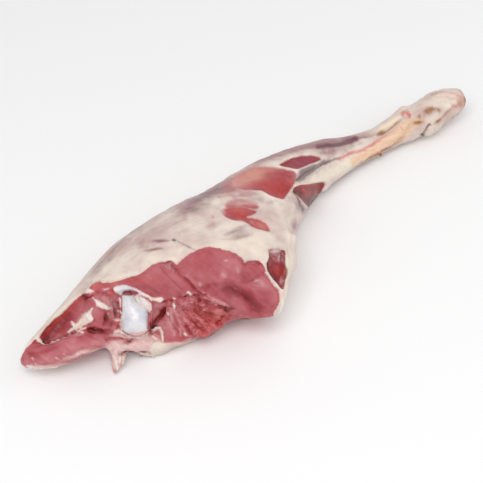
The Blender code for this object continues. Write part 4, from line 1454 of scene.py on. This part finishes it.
# %% Finish the meat
def meat_material():
    """Fat, muscle, gristle and stains in one wet, slightly soft material."""
    g = Graph("meat_and_fat")
    grain = Grain(g)
    torn = g.attribute("torn")
    crumbling = 1.8 - g.attribute("calm") * 1.1
    is_muscle = (g.attribute("bare") + grain.ragged * crumbling).step(-0.4, 0.5)
    is_white = (g.attribute("white") + grain.ragged * 2.6 + (grain.blotch - 0.5) * 2.4).step(-0.9, 0.8)
    stain = (g.attribute("brown") * (grain.blotch + 0.6 + grain.ragged)).clamped()
    outside = shank_colour(g, grain, fat_colour(g, grain))
    colour = g.mix(is_muscle, outside, muscle_colour(g, grain))
    colour = g.mix(is_white * 0.95, colour, gristle_colour(g, grain))
    colour = g.mix(stain * 0.85, colour, STAIN_BROWN)
    colour = g.mix(g.attribute("dark"), colour, NEARLY_BLACK)
    height = (grain.fibre * 0.9 + grain.threads * 0.3) * is_muscle * (torn + 0.2)
    height = height + grain.strands * 0.3 + grain.fine * 0.25 + grain.blotch * 0.4
    return g.finish({
        "Base Color": colour,
        "Roughness": 0.46 - is_muscle * 0.08 + (grain.fine - 0.5) * 0.25,
        "Normal": g.bump(height, 0.45, 0.0014),
        "Subsurface Weight": 0.1,
        "Subsurface Radius": (1.0, 0.35, 0.25),
        "Subsurface Scale": 0.003,
        "Coat Weight": 0.1 + torn * is_muscle * 0.2,
        "Coat Roughness": 0.2,
        "Specular IOR Level": 0.3,
    })


flesh.data.materials.append(meat_material())
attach(flesh, "root")
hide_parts("leg")
print("meat finished with", len(flesh.data.materials[0].node_tree.nodes), "nodes")


# %% [markdown]
# The ball of the thigh bone is capped with blue-white gristle. Its solid already has the
# right pear shape, so a finer copy of it only swells by the width of its gap, where it meets
# the wet flesh, and is pulled a little out of true. A new ball made from a sphere would have
# to be fitted to the socket again. Cream gristle clings to its right, pink membrane covers
# its underside, and at the top it turns red where it dips under the ligament.
# Each pull is written as on the meat, with mm to the right and up.

# %% Shape the end of the thigh bone
SWELL = 0.4
BONE_PULLS = [
    (124.5, 329, 6, 6, (-1.2, -1.0)), (147, 329, 6, 6, (-0.4, -0.6)), (128, 290, 9, 4, (0.0, -3.6)),
    (137, 299, 6, 7, (-2.2, -0.6)), (121, 299, 4, 6, (0.6, 0.4)), (150, 318, 6, 10, (-1.8, 0.0)),
    (136, 336, 13, 4, (0.0, -0.7)), (121.6, 312, 2, 14, (-0.5, 0.0)),
]
GRISTLE_EDGE = [
    (130.6, 293), (137, 293), (144, 297), (152, 302), (153, 311), (148, 312), (141, 309), (136, 304.6),
    (133, 299),
]


def shape_bone():
    """Swells the bone, pulls it about as seen in the picture, and paints its gristle."""
    at = corners_of(ball.data)
    facing_out = facings_of(ball.data)
    at += facing_out * SWELL
    for x, y, wide, high, (right, up) in BONE_PULLS:
        pull = spot(picture_place(at), x, y, wide, high)[:, None]
        at += pull * (right * RIGHT + up * UP)
    bent = picture_place(at) + 0.7 * np.stack([uneven(at, 6, 83), uneven(at, 6, 84)], axis=1)
    gristle = patch(bent, GRISTLE_EDGE)
    underside = ramp(bent[:, 1] + 0.06 * (bent[:, 0] - 124), 331.0, 333.8)
    hollow = ramp(295.4 + 0.08 * (bent[:, 0] - 128) - bent[:, 1], -0.6, 0.8)
    bumps = 0.25 * uneven(at, 5, 85) + ramp(gristle, -1, 1) * (0.7 + 0.25 * uneven(at, 3, 86))
    move_corners(ball.data, at + facing_out * bumps[:, None])
    paint(ball.data, "gristle", gristle)
    paint(ball.data, "hollow", hollow)
    paint(ball.data, "pinkness", 1.3 * underside + 0.6 * spot(bent, 149, 322, 3, 10))


BONE_STEP = 0.7
ball = remeshed(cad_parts["thigh_bone"].data.copy(), "thigh_bone_ball", BONE_STEP, 8)
shape_bone()
print("bone points", len(ball.data.vertices))


# %% [markdown]
# Fresh gristle is the shiniest thing on the leg: smooth, wet, and lit from inside like
# milky glass. It gets the strongest clear coat and twice the meat's soft scattering.

# %% Finish the thigh bone
CARTILAGE_WHITE = tone(226, 224, 226)
CARTILAGE_BLUE = tone(198, 203, 216)
MEMBRANE_PINK = tone(224, 172, 170)
HOLLOW_RED = tone(208, 124, 130)
CLINGING_CREAM = tone(234, 224, 214)
CLINGING_PINK = tone(222, 202, 192)


def bone_material():
    """Blue-white gristle with pink membrane, a red hollow and cream scraps."""
    g = Graph("bone_cartilage")
    cloud = g.noise(110, 3, 0.5)
    fine = g.noise(700, 3, 0.6)
    ragged = g.noise(420, 4, 0.65) - 0.5
    hollow = g.attribute("hollow")
    pink = (g.attribute("pinkness") + ragged * 0.9).step(0.25, 1.0)
    gristle = (g.attribute("gristle") + ragged * 2.4 - hollow * 3).step(-0.6, 0.8)
    colour = g.mix(cloud.step(0.4, 0.75), CARTILAGE_WHITE, CARTILAGE_BLUE)
    colour = g.mix(pink * 0.85, colour, MEMBRANE_PINK)
    colour = g.mix(hollow, colour, HOLLOW_RED)
    colour = g.mix(gristle, colour, g.mix(fine.step(0.3, 0.7), CLINGING_CREAM, CLINGING_PINK))
    return g.finish({
        "Base Color": colour,
        "Roughness": 0.28 + gristle * 0.15 + (fine - 0.5) * 0.1,
        "Normal": g.bump(cloud * 0.5 + fine * (gristle * 0.6 + 0.2), 0.2, 0.0008),
        "Subsurface Weight": 0.2,
        "Subsurface Radius": (0.8, 0.7, 0.7),
        "Subsurface Scale": 0.003,
        "Coat Weight": 0.4,
        "Coat Roughness": 0.16,
    })


ball.data.materials.append(bone_material())
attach(ball, "root")
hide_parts("thigh_bone")
print("bone finished with", len(ball.data.materials[0].node_tree.nodes), "nodes")


# %% [markdown]
# The table is a plain sheet of near-white, wide enough that its edge never shows. It lies a
# hair below the meat, so the two never fight for the same place in the picture.

# %% Lay the table
TABLE_HALF = 6.0
TABLE_DROP = 0.0004


def make_table():
    """A flat sheet with a dull white finish, which is a stage and not a part of the leg."""
    bm = bmesh.new()
    bmesh.ops.create_grid(bm, x_segments=1, y_segments=1, size=TABLE_HALF)
    mesh = bpy.data.meshes.new("table")
    bm.to_mesh(mesh)
    bm.free()
    table = bpy.data.objects.new("table", mesh)
    bpy.context.scene.collection.objects.link(table)
    table.location.z = -TABLE_DROP
    g = Graph("table_white")
    mesh.materials.append(g.finish({"Base Color": (0.93, 0.93, 0.93), "Roughness": 0.9}))


make_table()
print("table", 2 * TABLE_HALF, "m wide")
